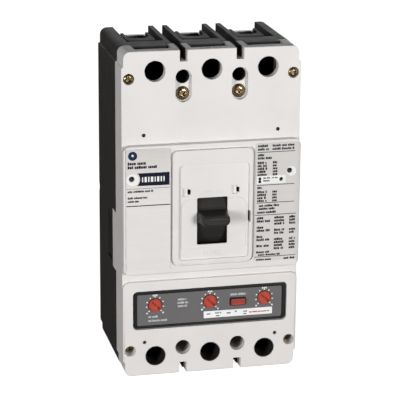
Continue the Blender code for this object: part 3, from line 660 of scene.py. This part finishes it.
def compartment(sign, outer=HALF_HEIGHT + PAST):
    """The Z span of a terminal compartment."""
    inner = COMPARTMENT_Z[sign]
    return (inner, outer) if sign > 0 else (-outer, inner)


def side_screws(sign):
    """Where the two outer cover screws of an end are."""
    return [(side * SIDE_SCREW[0], sign * SIDE_SCREW[1]) for side in SIDES]


def cover_profile():
    """The cover's side view: raised faces with rounded brows and small fillets at their feet."""
    brow, foot, ledge = 0.9, 0.3, 0.7
    low, high = PLATEAU_Z
    points = [(COVER_BACK, -HALF_HEIGHT), (COVER_BACK, HALF_HEIGHT)]
    points += arc((FRONT - brow, HALF_HEIGHT - brow), brow, 90, 0, 4)
    points += arc((FRONT + foot, high + foot), foot, 180, 270, 4)
    points += arc((PLATEAU_FRONT - brow, high - brow), brow, 90, 0, 4)
    points += arc((PLATEAU_FRONT - brow, low + brow), brow, 0, -90, 4)
    points += arc((FRONT + foot, low - foot), foot, 90, 180, 4)
    points += arc((FRONT + ledge, TRIP_ZONE_TOP + ledge), ledge, 180, 270, 3)
    points += arc((TRIP_FRONT - brow, TRIP_ZONE_TOP - brow), brow, 90, 0, 4)
    points += arc((TRIP_FRONT - brow, brow - HALF_HEIGHT), brow, 0, -90, 4)
    return points


def corner_tool(x_side, z, z_side, depths):
    """What rounds off a raised face's corner: a square less a quarter disc."""
    x = x_side * COVER_HALF
    centre_x, centre_z = x - x_side * CORNER, z - z_side * CORNER
    points = [
        (centre_x + x_side * CORNER * math.cos(a), centre_z + z_side * CORNER * math.sin(a))
        for a in (math.radians(90 / 8 * i) for i in range(9))
    ]
    x_out, z_out = x + x_side * PAST, z + z_side * PAST
    return prism(points + [(centre_x, z_out), (x_out, z_out), (x_out, centre_z)], depths)


def side_round(x_side, depth, radius, z):
    """What rounds off a raised face's long side edge."""
    x = x_side * COVER_HALF
    x_in, x_out = x - x_side * radius, x + x_side * PAST
    points = [
        (x - x_side * radius * (1 - math.cos(a)), depth - radius * (1 - math.sin(a)))
        for a in (math.radians(15 * i) for i in range(7))
    ]
    return prism(points + [(x_in, depth + PAST), (x_out, depth + PAST), (x_out, depth - radius)], z, "top")


def raise_panel(cover):
    """The handle's panel in its groove, with its recesses, lock pockets and side slot; the side skirts."""
    over = PANEL_FRONT + PAST
    cut(cover, block(both(32.7), (PLATEAU_FRONT - 1.3, PLATEAU_FRONT + 1), (-39.4, 54.0), 5.8))
    panel = block(both(31.4), (PLATEAU_FRONT - 1.9, PANEL_FRONT), (-38.0, 52.6), 4.5, 0.6, ends=(False, True))
    fuse(cover, panel)
    fuse(cover, *[block(beside(side, 66.3, COVER_HALF), (57.2, SEAM + 6), (-50.8, -3.0)) for side in SIDES])
    cut(cover, block((-26.7, 28.5), (SUB_PANEL, over), (-34.6, 41.0), 3.0))
    cut(
        cover,
        block((-24.6, 26.6), (WINDOW_PANEL, over), (-25.8, 13.3), (1.0, 1.0, 7.0, 7.0)),
        *[block((x, x + 4.4), (SUB_PANEL - 1.7, over), (16.2, 22.6)) for x in (-23.4, 15.0)],
    )
    cut(
        cover,
        *[block((x, x + 2.2), (98.6, over), (17.4, 21.4)) for x in (-19.3, 19.0)],
        block((28.0, 30.0), (96.0, over), (-6.6, 2.5), 0.9),
    )


def hollow_cover(cover):
    """The chambers behind the front, and the windows of the trip unit and the handle."""
    cut(
        cover,
        block(both(65.4), (BEHIND, PLATE_BACK), (-98.0, 40.0)),
        *[block(around(x, CHAMBER_HALF), (BEHIND, PLATE_BACK), (41.0, CHAMBER_Z[1])) for x in POLES],
    )
    cut(
        cover,
        block(both(64), (PLATE_BACK - 1, 98.2), (-40.0, 52.0)),
        block(both(61.4), (90.0, TRIP_FRONT + PAST), (-90.7, -59.4), 3.5),
    )
    cut(cover, block(both(26.0), (97.0, 100.4), (-34.0, 48.0)))
    cut(cover, block(both(11.9), (97.0, PANEL_FRONT + PAST), (-23.2, 14.3), 0.9, steps=3))


def open_ends(cover):
    """Terminal cavities, barrier notches, access holes, mounting bores and screw holes at both ends."""
    inner = HALF_HEIGHT - END_WALL
    over = TRIP_FRONT + PAST
    for sign in (1, -1):
        slot = at_end(sign, inner - 1, HALF_HEIGHT + PAST)
        notch = at_end(sign, 119.8, HALF_HEIGHT + PAST)
        cut(cover, *[block(around(x, 11.0), (BEHIND, 90.0), compartment(sign, inner)) for x in POLES])
        cut(
            cover,
            *[block(around(x, COMPARTMENT_HALF), (BEHIND, 87.9), slot) for x in POLES],
            *[prism(rounded(around(x, 2.9), notch, 0.4, 2), (BEHIND, over)) for x in BARRIERS],
        )
        cut(cover, *[rod(8.0, (85, over), (x, sign * LUG_SCREW_Z), 64) for x in POLES])
        cut(cover, *[rod(MOUNT_BORE[sign], (BEHIND, over), (x, sign * MOUNT_Z)) for x in BARRIERS])
        cut(cover, *[rod(4.25, (SIDE_SEAT[sign], over), at, 40) for at in side_screws(sign)])
        cut(cover, *[rod(2.7, (BEHIND, FRONT), at, 24) for at in side_screws(sign)])
    over = FRONT + PAST
    cut(cover, *[prism(capsule((x, INNER_SCREW_Z), (x, MOUNT_Z), 6.15), (92.5, over)) for x in BARRIERS])
    cut(cover, *[rod(5.4, (INNER_SEAT, over), (x, INNER_SCREW_Z)) for x in BARRIERS])
    cut(cover, *[rod(2.7, (BEHIND, FRONT), (x, INNER_SCREW_Z), 24) for x in BARRIERS])


def make_cover():
    cover = prism(cover_profile(), both(COVER_HALF), "side")
    keep(cover, prism(case_outline(COVER_HALF), (BEHIND, PLATEAU_FRONT + PAST)))
    low, high = PLATEAU_Z
    over_plateau = (FRONT, PLATEAU_FRONT + PAST)
    cut(
        cover,
        *[corner_tool(s, z, t, over_plateau) for s in SIDES for z, t in ((high, 1), (low, -1))],
        *[corner_tool(s, TRIP_ZONE_TOP, 1, (FRONT, TRIP_FRONT + PAST)) for s in SIDES],
    )
    cut(cover, *[side_round(s, PLATEAU_FRONT, 1.7, PLATEAU_Z) for s in SIDES])
    cut(cover, *[side_round(s, TRIP_FRONT, 1.2, (-HALF_HEIGHT - 1, TRIP_ZONE_TOP)) for s in SIDES])
    raise_panel(cover)
    hollow_cover(cover)
    open_ends(cover)
    cut(cover, *[rod(radius, (face - 2.4, PANEL_FRONT), at, 28) for at, face, radius in DARK_PINS])
    # Slots that stand in for the raised lettering of the line end
    slots = (-8.6, -6.2, -3.4, -1.2, 2.0, 4.2, 7.0)
    cut(cover, *[block((x, x + 1.1), (89.5, 93.6), (127.7, 130.0)) for x in slots])
    finished(cover, "cover_shell", "case_grey", "case", ["cover"], edge=0.32)
    ribs = [
        block(around(2.1 * (i - (count - 1) / 2), 0.4), around(SUB_PANEL, 0.3), around(z, 1.9), 0.35, 0.12,
              ends=(False, True))
        for z, count in ((18.6, 8), (-30.4, 7))
        for i in range(count)
    ]
    finished(merged(ribs), "panel_ribs", "case_grey", "case")


def make_dark_details():
    """Black pins in the cover's small holes, as painted shade there; a dark grey liner in the lower bores, as
    painted shade; and the sleeves and tongues that reach into it from the base.
    """
    for index, (at, face, radius) in enumerate(DARK_PINS, 1):
        r = radius - 0.04
        outline = ((0, 2.35), (r, 2.35), (r, 0.95), (r * 0.86, 0.8), (r * 0.5, 1.1), (0, 1.4))
        # The pin's near-black is painted shade: it darkens the hole.
        pin = lathe([(across, face - behind) for across, behind in outline], at, 28)
        finished(pin, f"cover_shade_pin_{index}", "bezel_black", "case")
    foot = SEAM + 0.2
    # Name, places along X, height, outer and inner radius, depths, number of sides, finish, edge
    sleeves = (
        ("mounting_sleeve", BARRIERS, MOUNT_Z, (5.35, 5.0), (foot, 92.0), 48, "case_black", 0.1),
        # The lower bores' dark grey liner is painted shade on their walls.
        ("lower_bore_shade_liner", BARRIERS, -MOUNT_Z, (5.85, 5.6), (foot, 93.4), 48, "bore_shade_grey", 0.1),
        ("access_sleeve", POLES, -LUG_SCREW_Z, (7.95, 7.45), (80.0, 98.65), 64, "case_black", 0.12),
    )
    for name, places, z, (outer, inner), (low, high), segments, look, edge in sleeves:
        for index, x in enumerate(places, 1):
            sleeve = rod(outer, (low, high), (x, z), segments)
            cut(sleeve, rod(inner, (low - PAST, high + PAST), (x, z), segments))
            finished(sleeve, f"{name}_{index}", look, "case", edge=edge)
    tongues = []
    for sign in (1, -1):
        span = at_end(sign, 119.9, HALF_HEIGHT - 0.1)
        for x in BARRIERS:
            cheeks = [sorted((x + side * 1.9, x + side * 2.85)) for side in SIDES]
            tongues += [block(cheek, (SEAM - 0.5, 88.5), span, 0.0, 0.2) for cheek in cheeks]
    finished(merged(tongues), "barrier_tongues", "case_black", "case")


def open_base_end(base, sign):
    """A terminal end of the base: compartments, rear openings, barrier slots and holes."""
    over = SEAM + PAST
    rear = at_end(sign, REAR_OPENING, HALF_HEIGHT + PAST)
    barrier = at_end(sign, 117.0, HALF_HEIGHT + PAST)
    pocket = at_end(sign, REAR_OPENING, HALF_HEIGHT - 4.6)
    access = compartment(sign, HALF_HEIGHT - END_WALL)
    cut(base, *[block(around(x, COMPARTMENT_HALF), (FLOOR, 59.0), compartment(sign)) for x in POLES])
    cut(base, *[block(around(x, COMPARTMENT_HALF), (58.0, over), access) for x in POLES])
    cut(
        base,
        *[block(around(x, COMPARTMENT_HALF), (-PAST, FLOOR + 1), rear) for x in POLES],
        *[block(around(x, 3.7), (-PAST, over), barrier) for x in BARRIERS],
        *[block(beside(side, 59.2, 64.5), (-PAST, 19.0), pocket) for side in SIDES],
    )
    cut(
        base,
        *[rod(3.4, (-PAST, over), (x, sign * MOUNT_Z), 32) for x in BARRIERS],
        *[rod(2.3, (40, over), at, 20) for at in side_screws(sign)],
    )
    cut(base, *[rod(5.65, (20, over), (x, sign * MOUNT_Z)) for x in BARRIERS])


def make_base():
    base = prism(case_outline(HALF_WIDTH), (0.0, SEAM))
    over = SEAM + PAST
    walls = []
    for sign in (1, -1):
        open_base_end(base, sign)
        edge = at_end(sign, HALF_HEIGHT - 6.3, HALF_HEIGHT)
        walls += [block(around(x, 13.9), CROSS_WALL[sign], edge) for x in POLES]
    fuse(base, *walls)
    cut(
        base,
        *[block(around(x, CHAMBER_HALF), (FLOOR, over), CHAMBER_Z) for x in POLES],
        block(both(62.7), (20.0, over), (-98.0, -54.0)),
        *[rod(2.3, (50, over), (x, INNER_SCREW_Z), 20) for x in BARRIERS],
    )
    cut(
        base,
        block(both(60.8), (20, over), both(10.0)),
        block(both(9.0), (40, over), (-56, -48)),
        *[block(around(x, 11), (12.5, 19.5), (80, 90)) for x in POLES],
    )
    cut(base, *[block(around(x, 11), (12.5, 22.0), (-104, -48)) for x in POLES])
    for side in SIDES:
        cut(base, block(beside(side, 66.0, 71.0), (56.8, SEAM + 1), (-51.2, -2.6)))
        cut(base, block(beside(side, 68.0, 71.0), (37.0, 57.5), (-47.0, -8.0), 0.5))
        catches = (-12.2, -24.6, -38.1)
        cut(
            base,
            *[block(beside(side, 66.4, 70.0), (48.4, 52.4), around(z, 2.0), 0.4) for z in catches],
            rod(5.0, beside(side, 67.0, 72.0), (-3.2, -1.5), 32, along="x"),
        )
    pockets = [block(around(x, 17), (-1.0, 0.9), (z, z + 68), 3.0) for x in POLES for z in (-80.0, -2.0)]
    cut(base, *pockets)
    finished(base, "base_shell", "case_black", "case", ["base"], edge=0.3)


# ---------------------------------------------------------------- handle


def loft(sections):
    """A closed skin through outlines of (X, Z) points at rising depths."""
    bm = bmesh.new()
    rings = [[bm.verts.new(in_frame("front", a, b, depth)) for a, b in points] for depth, points in sections]
    bm.faces.new(rings[0])
    bm.faces.new(rings[-1])
    skin(bm, rings)
    return link(bm)


def make_handle():
    z = HANDLE_AXIS[1]
    levels = (  # depth, half width, half height, corner radius
        (101.7, 11.7, 4.9, 1.4),
        (103.2, 11.7, 4.5, 1.8),
        (106.0, 11.6, 4.25, 2.2),
        (111.5, 11.5, 3.95, 2.8),
        (113.8, 11.2, 3.8, 3.0),
        (115.6, 10.6, 3.5, 2.9),
        (116.8, 9.8, 3.1, 2.5),
        (117.35, 9.0, 2.6, 2.0),
        (HANDLE_TIP, 8.2, 1.9, 1.4),
        (HANDLE_TIP - 0.15, 7.4, 1.2, 0.9),
    )
    grip = loft([(depth, rounded(both(w), around(z, h), r, 8)) for depth, w, h, r in levels])
    finished(grip, "handle_grip", "handle_black", "handle", ["handle"])
    outline = arc(HANDLE_AXIS, SHIELD_RADIUS, -SHIELD_SWEEP, SHIELD_SWEEP, 60)
    outline += arc(HANDLE_AXIS, SHIELD_RADIUS - 2.4, SHIELD_SWEEP, -SHIELD_SWEEP, 60)
    shield = prism(outline, both(15.0), "side")
    for angle, height in ((-29.0, 0.85), (-26.9, 0.45), (8.6, 0.45)):
        rib = arc(HANDLE_AXIS, SHIELD_RADIUS + height, angle - 0.5, angle + 0.5, 3)
        rib += arc(HANDLE_AXIS, SHIELD_RADIUS - 1, angle + 1.0, angle - 1.0, 3)
        fuse(shield, prism(rib, both(9.6), "side"))
    finished(shield, "arc_shield", "shield_black", "handle", ["handle_arc_shield"], edge=0.15)
    stem = block(both(5.9), (93.4, 102.4), around(z, 2.3), 1.0)
    finished(stem, "handle_stem", "handle_black", "handle", edge=0.2)


# ---------------------------------------------------------------- screws and lugs


def turned(points, centre, degrees):
    """Points round the origin, turned and moved to the centre."""
    c, s = math.cos(math.radians(degrees)), math.sin(math.radians(degrees))
    return [(centre[0] + x * c - z * s, centre[1] + x * s + z * c) for x, z in points]


def make_cover_screw(index, at, seat, radius, angle):
    low = seat + 0.3
    profile = [(0, 52.0), (1.9, 52.0), (1.9, low), (radius, low), (radius, low + 0.7)]
    dome = ((0.93, 1.35), (0.76, 1.95), (0.5, 2.35), (0, 2.5))
    profile += [(radius * share, low + rise) for share, rise in dome]
    head = lathe(profile, at, 40)
    for half_x, half_z in ((2.4, 0.75), (0.75, 2.4), (1.3, 1.3)):
        recess = turned(rounded(both(half_x), both(half_z), 0.35, 2), at, angle)
        cut(head, prism(recess, (low + 0.35, low + 5)))
    finished(head, f"screw_head_{index}", "zinc", "case", [f"cover_screw_{index}"], edge=0.12)


def make_cover_screws():
    places = [(at, SIDE_SEAT[1], 3.95) for at in side_screws(1)]
    places += [((x, INNER_SCREW_Z), INNER_SEAT, 5.2) for x in BARRIERS]
    places += [(at, SIDE_SEAT[-1], 3.8) for at in side_screws(-1)]
    for index, (place, angle) in enumerate(zip(places, (12.0, 38.0, 25.0, 5.0, 31.0, 17.0)), 1):
        make_cover_screw(index, *place, angle)


def make_lug(end, sign, index, x):
    """A collar with its clamping screw, and the slotted black retaining piece in front of it, which also
    serves as painted shade over the collar's near top.
    """
    over_screw = (x, sign * LUG_SCREW_Z)
    low, high = beside(sign, 102.0, 123.4)
    lug = block(around(x, 11.0), (6.3, 45.0), (low, high), 2.6, 0.5, along="z")
    mouth = rounded(around(x, 8.6), (11.3, 36.6), (0.6, 0.6, 8.59, 8.59), 10)
    cut(lug, prism(mouth, (low - 5, high + 5), "top"))
    cut(lug, block(around(x, 10.4), (13.6, 18.4), beside(sign, 95.0, 119.4)))
    cut(lug, rod(5.4, (28.0, 48.0), over_screw, 40))
    finished(lug, f"{end}_collar_{index}", "bright", "case", [f"{end}_lug_{index}"], edge=0.3)
    # A guessed black plastic piece; its black across the collar's near top is also painted shade.
    outline = rounded(around(x, 11.2), (15.0, 46.0), (1.0, 1.0, 2.6, 2.6))
    shade_retainer = prism(outline, at_end(sign, 123.5, 126.4), "top", 0.3)
    cut(shade_retainer, prism(capsule((x, 8.0), (x, 28.0), 8.75, 24), at_end(sign, 120.0, 130.0), "top"))
    finished(shade_retainer, f"{end}_retainer_{index}", "case_black", "case", edge=0.2)
    profile = [(0, 37.0), (4.2, 37.0), (4.9, 37.7), (4.9, 53.2), (4.4, 54.0), (0, 54.0)]
    screw = lathe(profile, over_screw, 32)
    cut(screw, prism(turned(circle((0, 0), 3.2, 6), over_screw, 10.0 * index), (48.0, 57.0)))
    name, node = f"{end}_clamp_screw_{index}", f"{end}_lug_screw_{index}"
    finished(screw, name, "steel", "case", [node], edge=0.15)


def make_lugs():
    for end, sign in (("line", 1), ("load", -1)):
        for index, x in enumerate(POLES, 1):
            make_lug(end, sign, index, x)


# ---------------------------------------------------------------- trip unit


def make_trip_unit():
    through = (94.0, 99.0)
    housing = block(both(62.2), (28.0, 91.5), (-97.4, -54.6), 1.0)
    fuse(housing, block(both(60.9), (88.0, 97.6), (-90.2, -59.9), 3.2, 0.7, ends=(False, True)))
    cut(housing, block(both(59.7), (27.0, 86.0), (-94.9, -57.1)))
    cut(
        housing,
        block(both(58.2), (96.0, 99.0), (-88.5, -62.6), 1.6),
        block(both(4.5), (44.0, 80.0), (-58.6, -52.6)),
    )
    cut(housing, block((16.3, 28.3), (94.6, 97.0), (-76.3, -70.5), 0.9))
    cut(
        housing,
        rod(2.3, (80.0, 99.0), (22.3, -73.3), 24),
        *[rod(3.2, (80.0, 99.0), (x, KNOB_Z), 32) for x in POLES],
    )
    finished(housing, "trip_housing", "bezel_black", "case", ["trip_unit_housing"], edge=0.25)
    plate = block(both(57.9), (96.2, PLATE_FACE), (-88.2, -62.9), 1.4)
    window = block((15.75, 28.85), through, (-76.85, -69.95), 1.3)
    cut(plate, *[rod(5.6, through, (x, KNOB_Z)) for x in POLES], window)
    finished(plate, "trip_plate", "faceplate", "case", ["trip_unit_faceplate"], edge=0.1)
    strip = block((-5.0, 50.2), (96.95, STRIP_FACE), (-85.4, -79.8), 0.5)
    finished(strip, "rating_band", "strip", "case", ["rating_strip"], edge=0.08)
    for index, x in enumerate(POLES, 1):
        make_knob(index, x)
    button = block((16.6, 28.0), (96.9, 98.9), (-76.0, -70.9), 0.8, 0.5, ends=(False, True))
    cut(button, block((18.2, 26.4), (98.6, 100.0), (-74.9, -72.0), 0.6))
    fuse(button, rod(2.0, (66.6, 97.5), (22.3, -73.4), 24))
    node = "push_to_trip_button"
    finished(button, "trip_button", "button_red", "push_to_trip", [node], edge=0.18)
    collar = block((15.85, 28.75), (96.05, 97.5), (-76.75, -70.05), 1.2)
    cut(collar, block((16.35, 28.25), (95.0, 99.0), (-76.25, -70.55), 0.8))
    finished(collar, "button_collar", "bezel_black", "case", edge=0.15)


def make_knob(index, x):
    """A fluted skirt and a slotted cap; the knob's slot leans to the left."""
    flutes = 26
    outline = []
    for i in range(flutes * 4):
        a = 2 * math.pi * i / (flutes * 4)
        r = 5.12 + 0.1 * math.cos(flutes * a)
        outline.append((x + r * math.cos(a), KNOB_Z + r * math.sin(a)))
    knob = prism(outline, (96.3, 98.1))
    fuse(knob, lathe([(0, 97.0), (4.35, 97.0), (4.35, 98.5), (4.0, 99.0), (0, 99.0)], (x, KNOB_Z)))
    fuse(knob, rod(2.8, (78.0, 97.0), (x, KNOB_Z), 32))
    slot = turned(rounded(both(4.1), both(0.95), 0.5, 3), (x, KNOB_Z), -42.0)
    cut(knob, prism(slot, (96.9, 101.0)))
    name, node = f"knob_{index}_cap", f"adjust_knob_{index}"
    finished(knob, name, "red_plastic", f"knob_{index}", [node], edge=0.12)


# ---------------------------------------------------------------- labels and printing

LABEL_BACK = 102.24
LABEL_FACE = 102.75
PRINT_DEPTH = 102.78
PATCH_BACK = 102.76
INK_THICKNESS = 0.05
THROUGH_LABEL = (101.0, 104.0)


def printed_marks(name, shapes, depth, look):
    """Flat inked shapes, each an outline of (X, Z) points, as one mesh of thin closed plates."""
    bm = bmesh.new()
    for points in shapes:
        depths = (depth, depth + INK_THICKNESS)
        rings = [[bm.verts.new(in_frame("front", a, b, c)) for a, b in points] for c in depths]
        bm.faces.new(rings[0])
        bm.faces.new(rings[1])
        skin(bm, rings)
    obj = link(bm, name)
    obj.data.materials.append(LOOK[look])
    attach(obj, "case")


def bar(x0, x1, z0, z1):
    return [(x0, z0), (x1, z0), (x1, z1), (x0, z1)]


def text_row(draw, x0, x1, z, height, weight):
    """A row that reads as small print from afar and spells nothing: uneven strokes in uneven groups."""
    shapes = []
    x = x0
    left = draw.randint(3, 6)
    while x < x1 - weight:
        width = weight * draw.uniform(0.95, 2.2)
        top = z + height * (1.0 if draw.random() < 0.4 else 0.8)
        shapes.append(bar(x, min(x + width, x1), z, top))
        x += width + weight * 0.28
        left -= 1
        if left == 0:
            x += weight * 1.25
            left = draw.randint(4, 8)
    return shapes


def text_rows(draw, rows):
    """Rows of small print, each given by its span in X, its height, its size and its weight."""
    return [shape for row in rows for shape in text_row(draw, *row)]


def make_label_left():
    label = block((-67.2, -33.0), (LABEL_BACK, LABEL_FACE), (-41.0, 55.2), 1.5)
    cut(label, rod(2.2, THROUGH_LABEL, LEFT_HOLE, 32))
    finished(label, "label_left_film", "label_film", "case", ["label_left"], edge=0.08)
    rows = (
        (-66.0, -51.5, 43.2, 2.3, 0.75),
        (-66.0, -42.0, 40.2, 2.3, 0.75),
        (-66.0, -46.5, 21.6, 1.6, 0.55),
        (-66.0, -51.0, 16.6, 1.5, 0.5),
        (-66.0, -57.5, 13.9, 1.5, 0.5),
    )
    printed_marks("label_left_print", text_rows(random.Random(3), rows), PRINT_DEPTH, "black_ink")
    rules = [bar(-67.0, -33.2, 10.6, 11.4), bar(-67.0, -33.2, 24.4, 24.7)]
    printed_marks("label_left_rules", rules, PRINT_DEPTH, "grey_ink")
    band = [(-33.8, 26.4), (-33.8, 36.6)] + arc((-62.9, 31.8), 6.4, 48.0, -52.0, 12)
    printed_marks("label_left_band", [band], PRINT_DEPTH, "navy_ink")
    disc = prism(circle((-62.2, 50.2), 3.5, 40), (PRINT_DEPTH, PRINT_DEPTH + INK_THICKNESS))
    finished(disc, "label_left_disc", "blue_ink", "case")
    white = [circle((-62.2, 50.6), 0.9, 24)]
    x = -55.0
    for width in (0.9, 1.7, 1.0, 1.9, 0.8, 1.7, 1.1, 0.9):
        white.append(rounded((x, x + width), (29.5, 33.6), 0.4, 3))
        x += width + 1.05
    printed_marks("label_left_white", white, PRINT_DEPTH + 0.06, "white_ink")
    pale = prism(circle((-62.2, 31.6), 4.7, 40), (PATCH_BACK, 102.84))
    keep(pale, block((-67.1, -56.0), (102.0, 103.5), (26.0, 38.0)))
    cut(pale, rod(2.25, THROUGH_LABEL, LEFT_HOLE, 32))
    finished(pale, "label_left_ring", "white_ink", "case")


def rating_table():
    """The right label's rows: headings, two tables of two columns, notes, and one of three columns."""
    rows = []
    for z in (52.0, 49.3):
        rows += [(35.0, 43.5, z, 1.9, 0.72), (46.5, 64.0, z, 1.8, 0.62)]
    rows += [(35.0, 41.0, 44.8, 1.8, 0.66), (35.0, 46.5, 42.3, 1.8, 0.66)]
    for line in range(5):
        z = 38.6 - 2.35 * line
        rows += [(35.0, 42.5, z, 1.9, 0.72), (47.0, 50.6, z, 1.9, 0.7)]
    rows.append((35.0, 39.0, 18.9, 1.7, 0.6))
    for line in range(4):
        z = 15.4 - 2.35 * line
        rows += [(35.0, 42.5, z, 1.9, 0.72), (47.0, 50.6, z, 1.9, 0.7)]
    rows += [(36.5, 53.5, 4.4, 1.8, 0.62), (36.5, 49.5, 2.0, 1.8, 0.62), (35.0, 50.0, -0.9, 1.8, 0.62)]
    for line, columns in enumerate(("abc", "abc", "bc", "a", "abc", "bc", "a", "abc", "bc", "abc", "bc")):
        z = -5.6 - 2.5 * line
        spans = {
            "a": (35.0, 45.5 if line in (1, 4, 7, 9) else 40.5, z, 1.9, 0.72),
            "b": (49.0, 57.0, z, 1.9, 0.72),
            "c": (61.0, 65.8, z, 1.9, 0.7),
        }
        rows += [spans[column] for column in columns]
    rows += [(35.0, 46.0, -33.0, 1.6, 0.6), (36.5, 54.5, -35.2, 1.5, 0.6)]
    return rows + [(35.0, 47.0, -39.0, 1.5, 0.55), (57.0, 65.8, -39.0, 1.6, 0.7)]


def make_label_right():
    label = block((33.4, 66.6), (LABEL_BACK, LABEL_FACE), (-39.5, 55.2), 1.5)
    cut(label, rod(2.1, THROUGH_LABEL, RIGHT_HOLE, 32), rod(1.55, THROUGH_LABEL, PATCH_HOLE, 32))
    finished(label, "label_right_film", "label_pale", "case", ["label_right"], edge=0.08)
    draw = random.Random(11)
    printed_marks("label_right_print", text_rows(draw, rating_table()), PRINT_DEPTH, "black_ink")
    rules = [bar(34.6, 64.5, z - 0.26, z + 0.26) for z in (47.9, 21.8, 7.6)]
    rules += [bar(33.6, 66.4, z - 0.26, z + 0.26) for z in (-2.2, -36.0)]
    printed_marks("label_right_rules", rules, PRINT_DEPTH, "grey_ink")
    patch = prism(rounded((34.6, 57.4), (22.9, 29.2), 0.8, 3), (PATCH_BACK, 102.82))
    cut(patch, rod(1.6, THROUGH_LABEL, PATCH_HOLE, 32))
    finished(patch, "label_right_patch", "white_ink", "case")
    halo = prism(circle((61.9, 32.0), 3.8, 36), (PATCH_BACK, 102.82))
    cut(halo, rod(2.15, THROUGH_LABEL, RIGHT_HOLE, 32))
    finished(halo, "label_right_halo", "white_ink", "case")
    symbols = [circle((36.9, 27.0), 1.15, 20), circle((36.9, 24.7), 1.25, 20)]
    rows = ((39.6, 45.0, 26.8, 1.2, 0.4), (39.6, 45.4, 24.6, 1.2, 0.5), (46.6, 51.0, 26.9, 0.9, 0.3))
    printed_marks("label_right_symbols", symbols + text_rows(draw, rows), 102.83, "black_ink")


def dial_marks(x):
    """The nine marks round a knob, three bars over it and one at each side below."""
    marks = []
    for i in range(9):
        degrees = -135 + 270 * i / 8
        a = math.radians(degrees)
        centre = (x + 6.75 * math.sin(a), KNOB_Z + 6.75 * math.cos(a))
        marks.append(turned(bar(-0.42, 0.42, -0.62, 0.62), centre, -math.degrees(a)))
    marks += [bar(x + x0, x + x0 + 1.0, KNOB_Z + 7.3, KNOB_Z + 8.6) for x0 in (-1.9, -0.5, 0.9)]
    return marks + [bar(x + s * 6.4 - 0.6, x + s * 6.4 + 0.6, KNOB_Z - 7.1, KNOB_Z - 5.9) for s in SIDES]


def make_trip_print():
    draw = random.Random(5)
    plate_rows = [(x0, x1, z, 1.6, 0.5) for z, x0, x1 in (
        (-69.2, -25.6, -18.4),
        (-72.0, -26.0, -17.2),
        (-74.8, -25.6, -17.8),
        (-82.0, -49.0, -40.5),
        (-85.2, -49.0, -34.0),
        (-68.2, 16.2, 28.6),
    )]
    strip_rows = [(x0, x1, z, 1.1, 0.32) for z, x0, x1 in (
        (-82.6, -2.6, 0.6),
        (-82.2, 4.2, 9.0),
        (-84.5, 4.8, 7.6),
        (-82.9, 13.4, 16.6),
        (-82.0, 20.0, 21.6),
        (-82.4, 26.8, 29.8),
        (-84.4, 27.0, 29.4),
    )]
    dials = [mark for x in POLES for mark in dial_marks(x)]
    printed_marks("trip_plate_print", dials, PLATE_FACE, "white_ink")
    printed_marks("trip_plate_rows", text_rows(draw, plate_rows), PLATE_FACE, "pale_ink")
    printed_marks("strip_print", text_rows(draw, strip_rows), STRIP_FACE, "grey_ink")
    red = text_row(draw, 31.6, 48.0, -83.4, 1.1, 0.32)
    printed_marks("strip_print_red", red, STRIP_FACE, "red_ink")


make_camera()
make_stage()
make_lights()
dress_nodes()
make_cover()
make_dark_details()
make_base()
make_handle()
make_cover_screws()
make_lugs()
make_trip_unit()
make_label_left()
make_label_right()
make_trip_print()
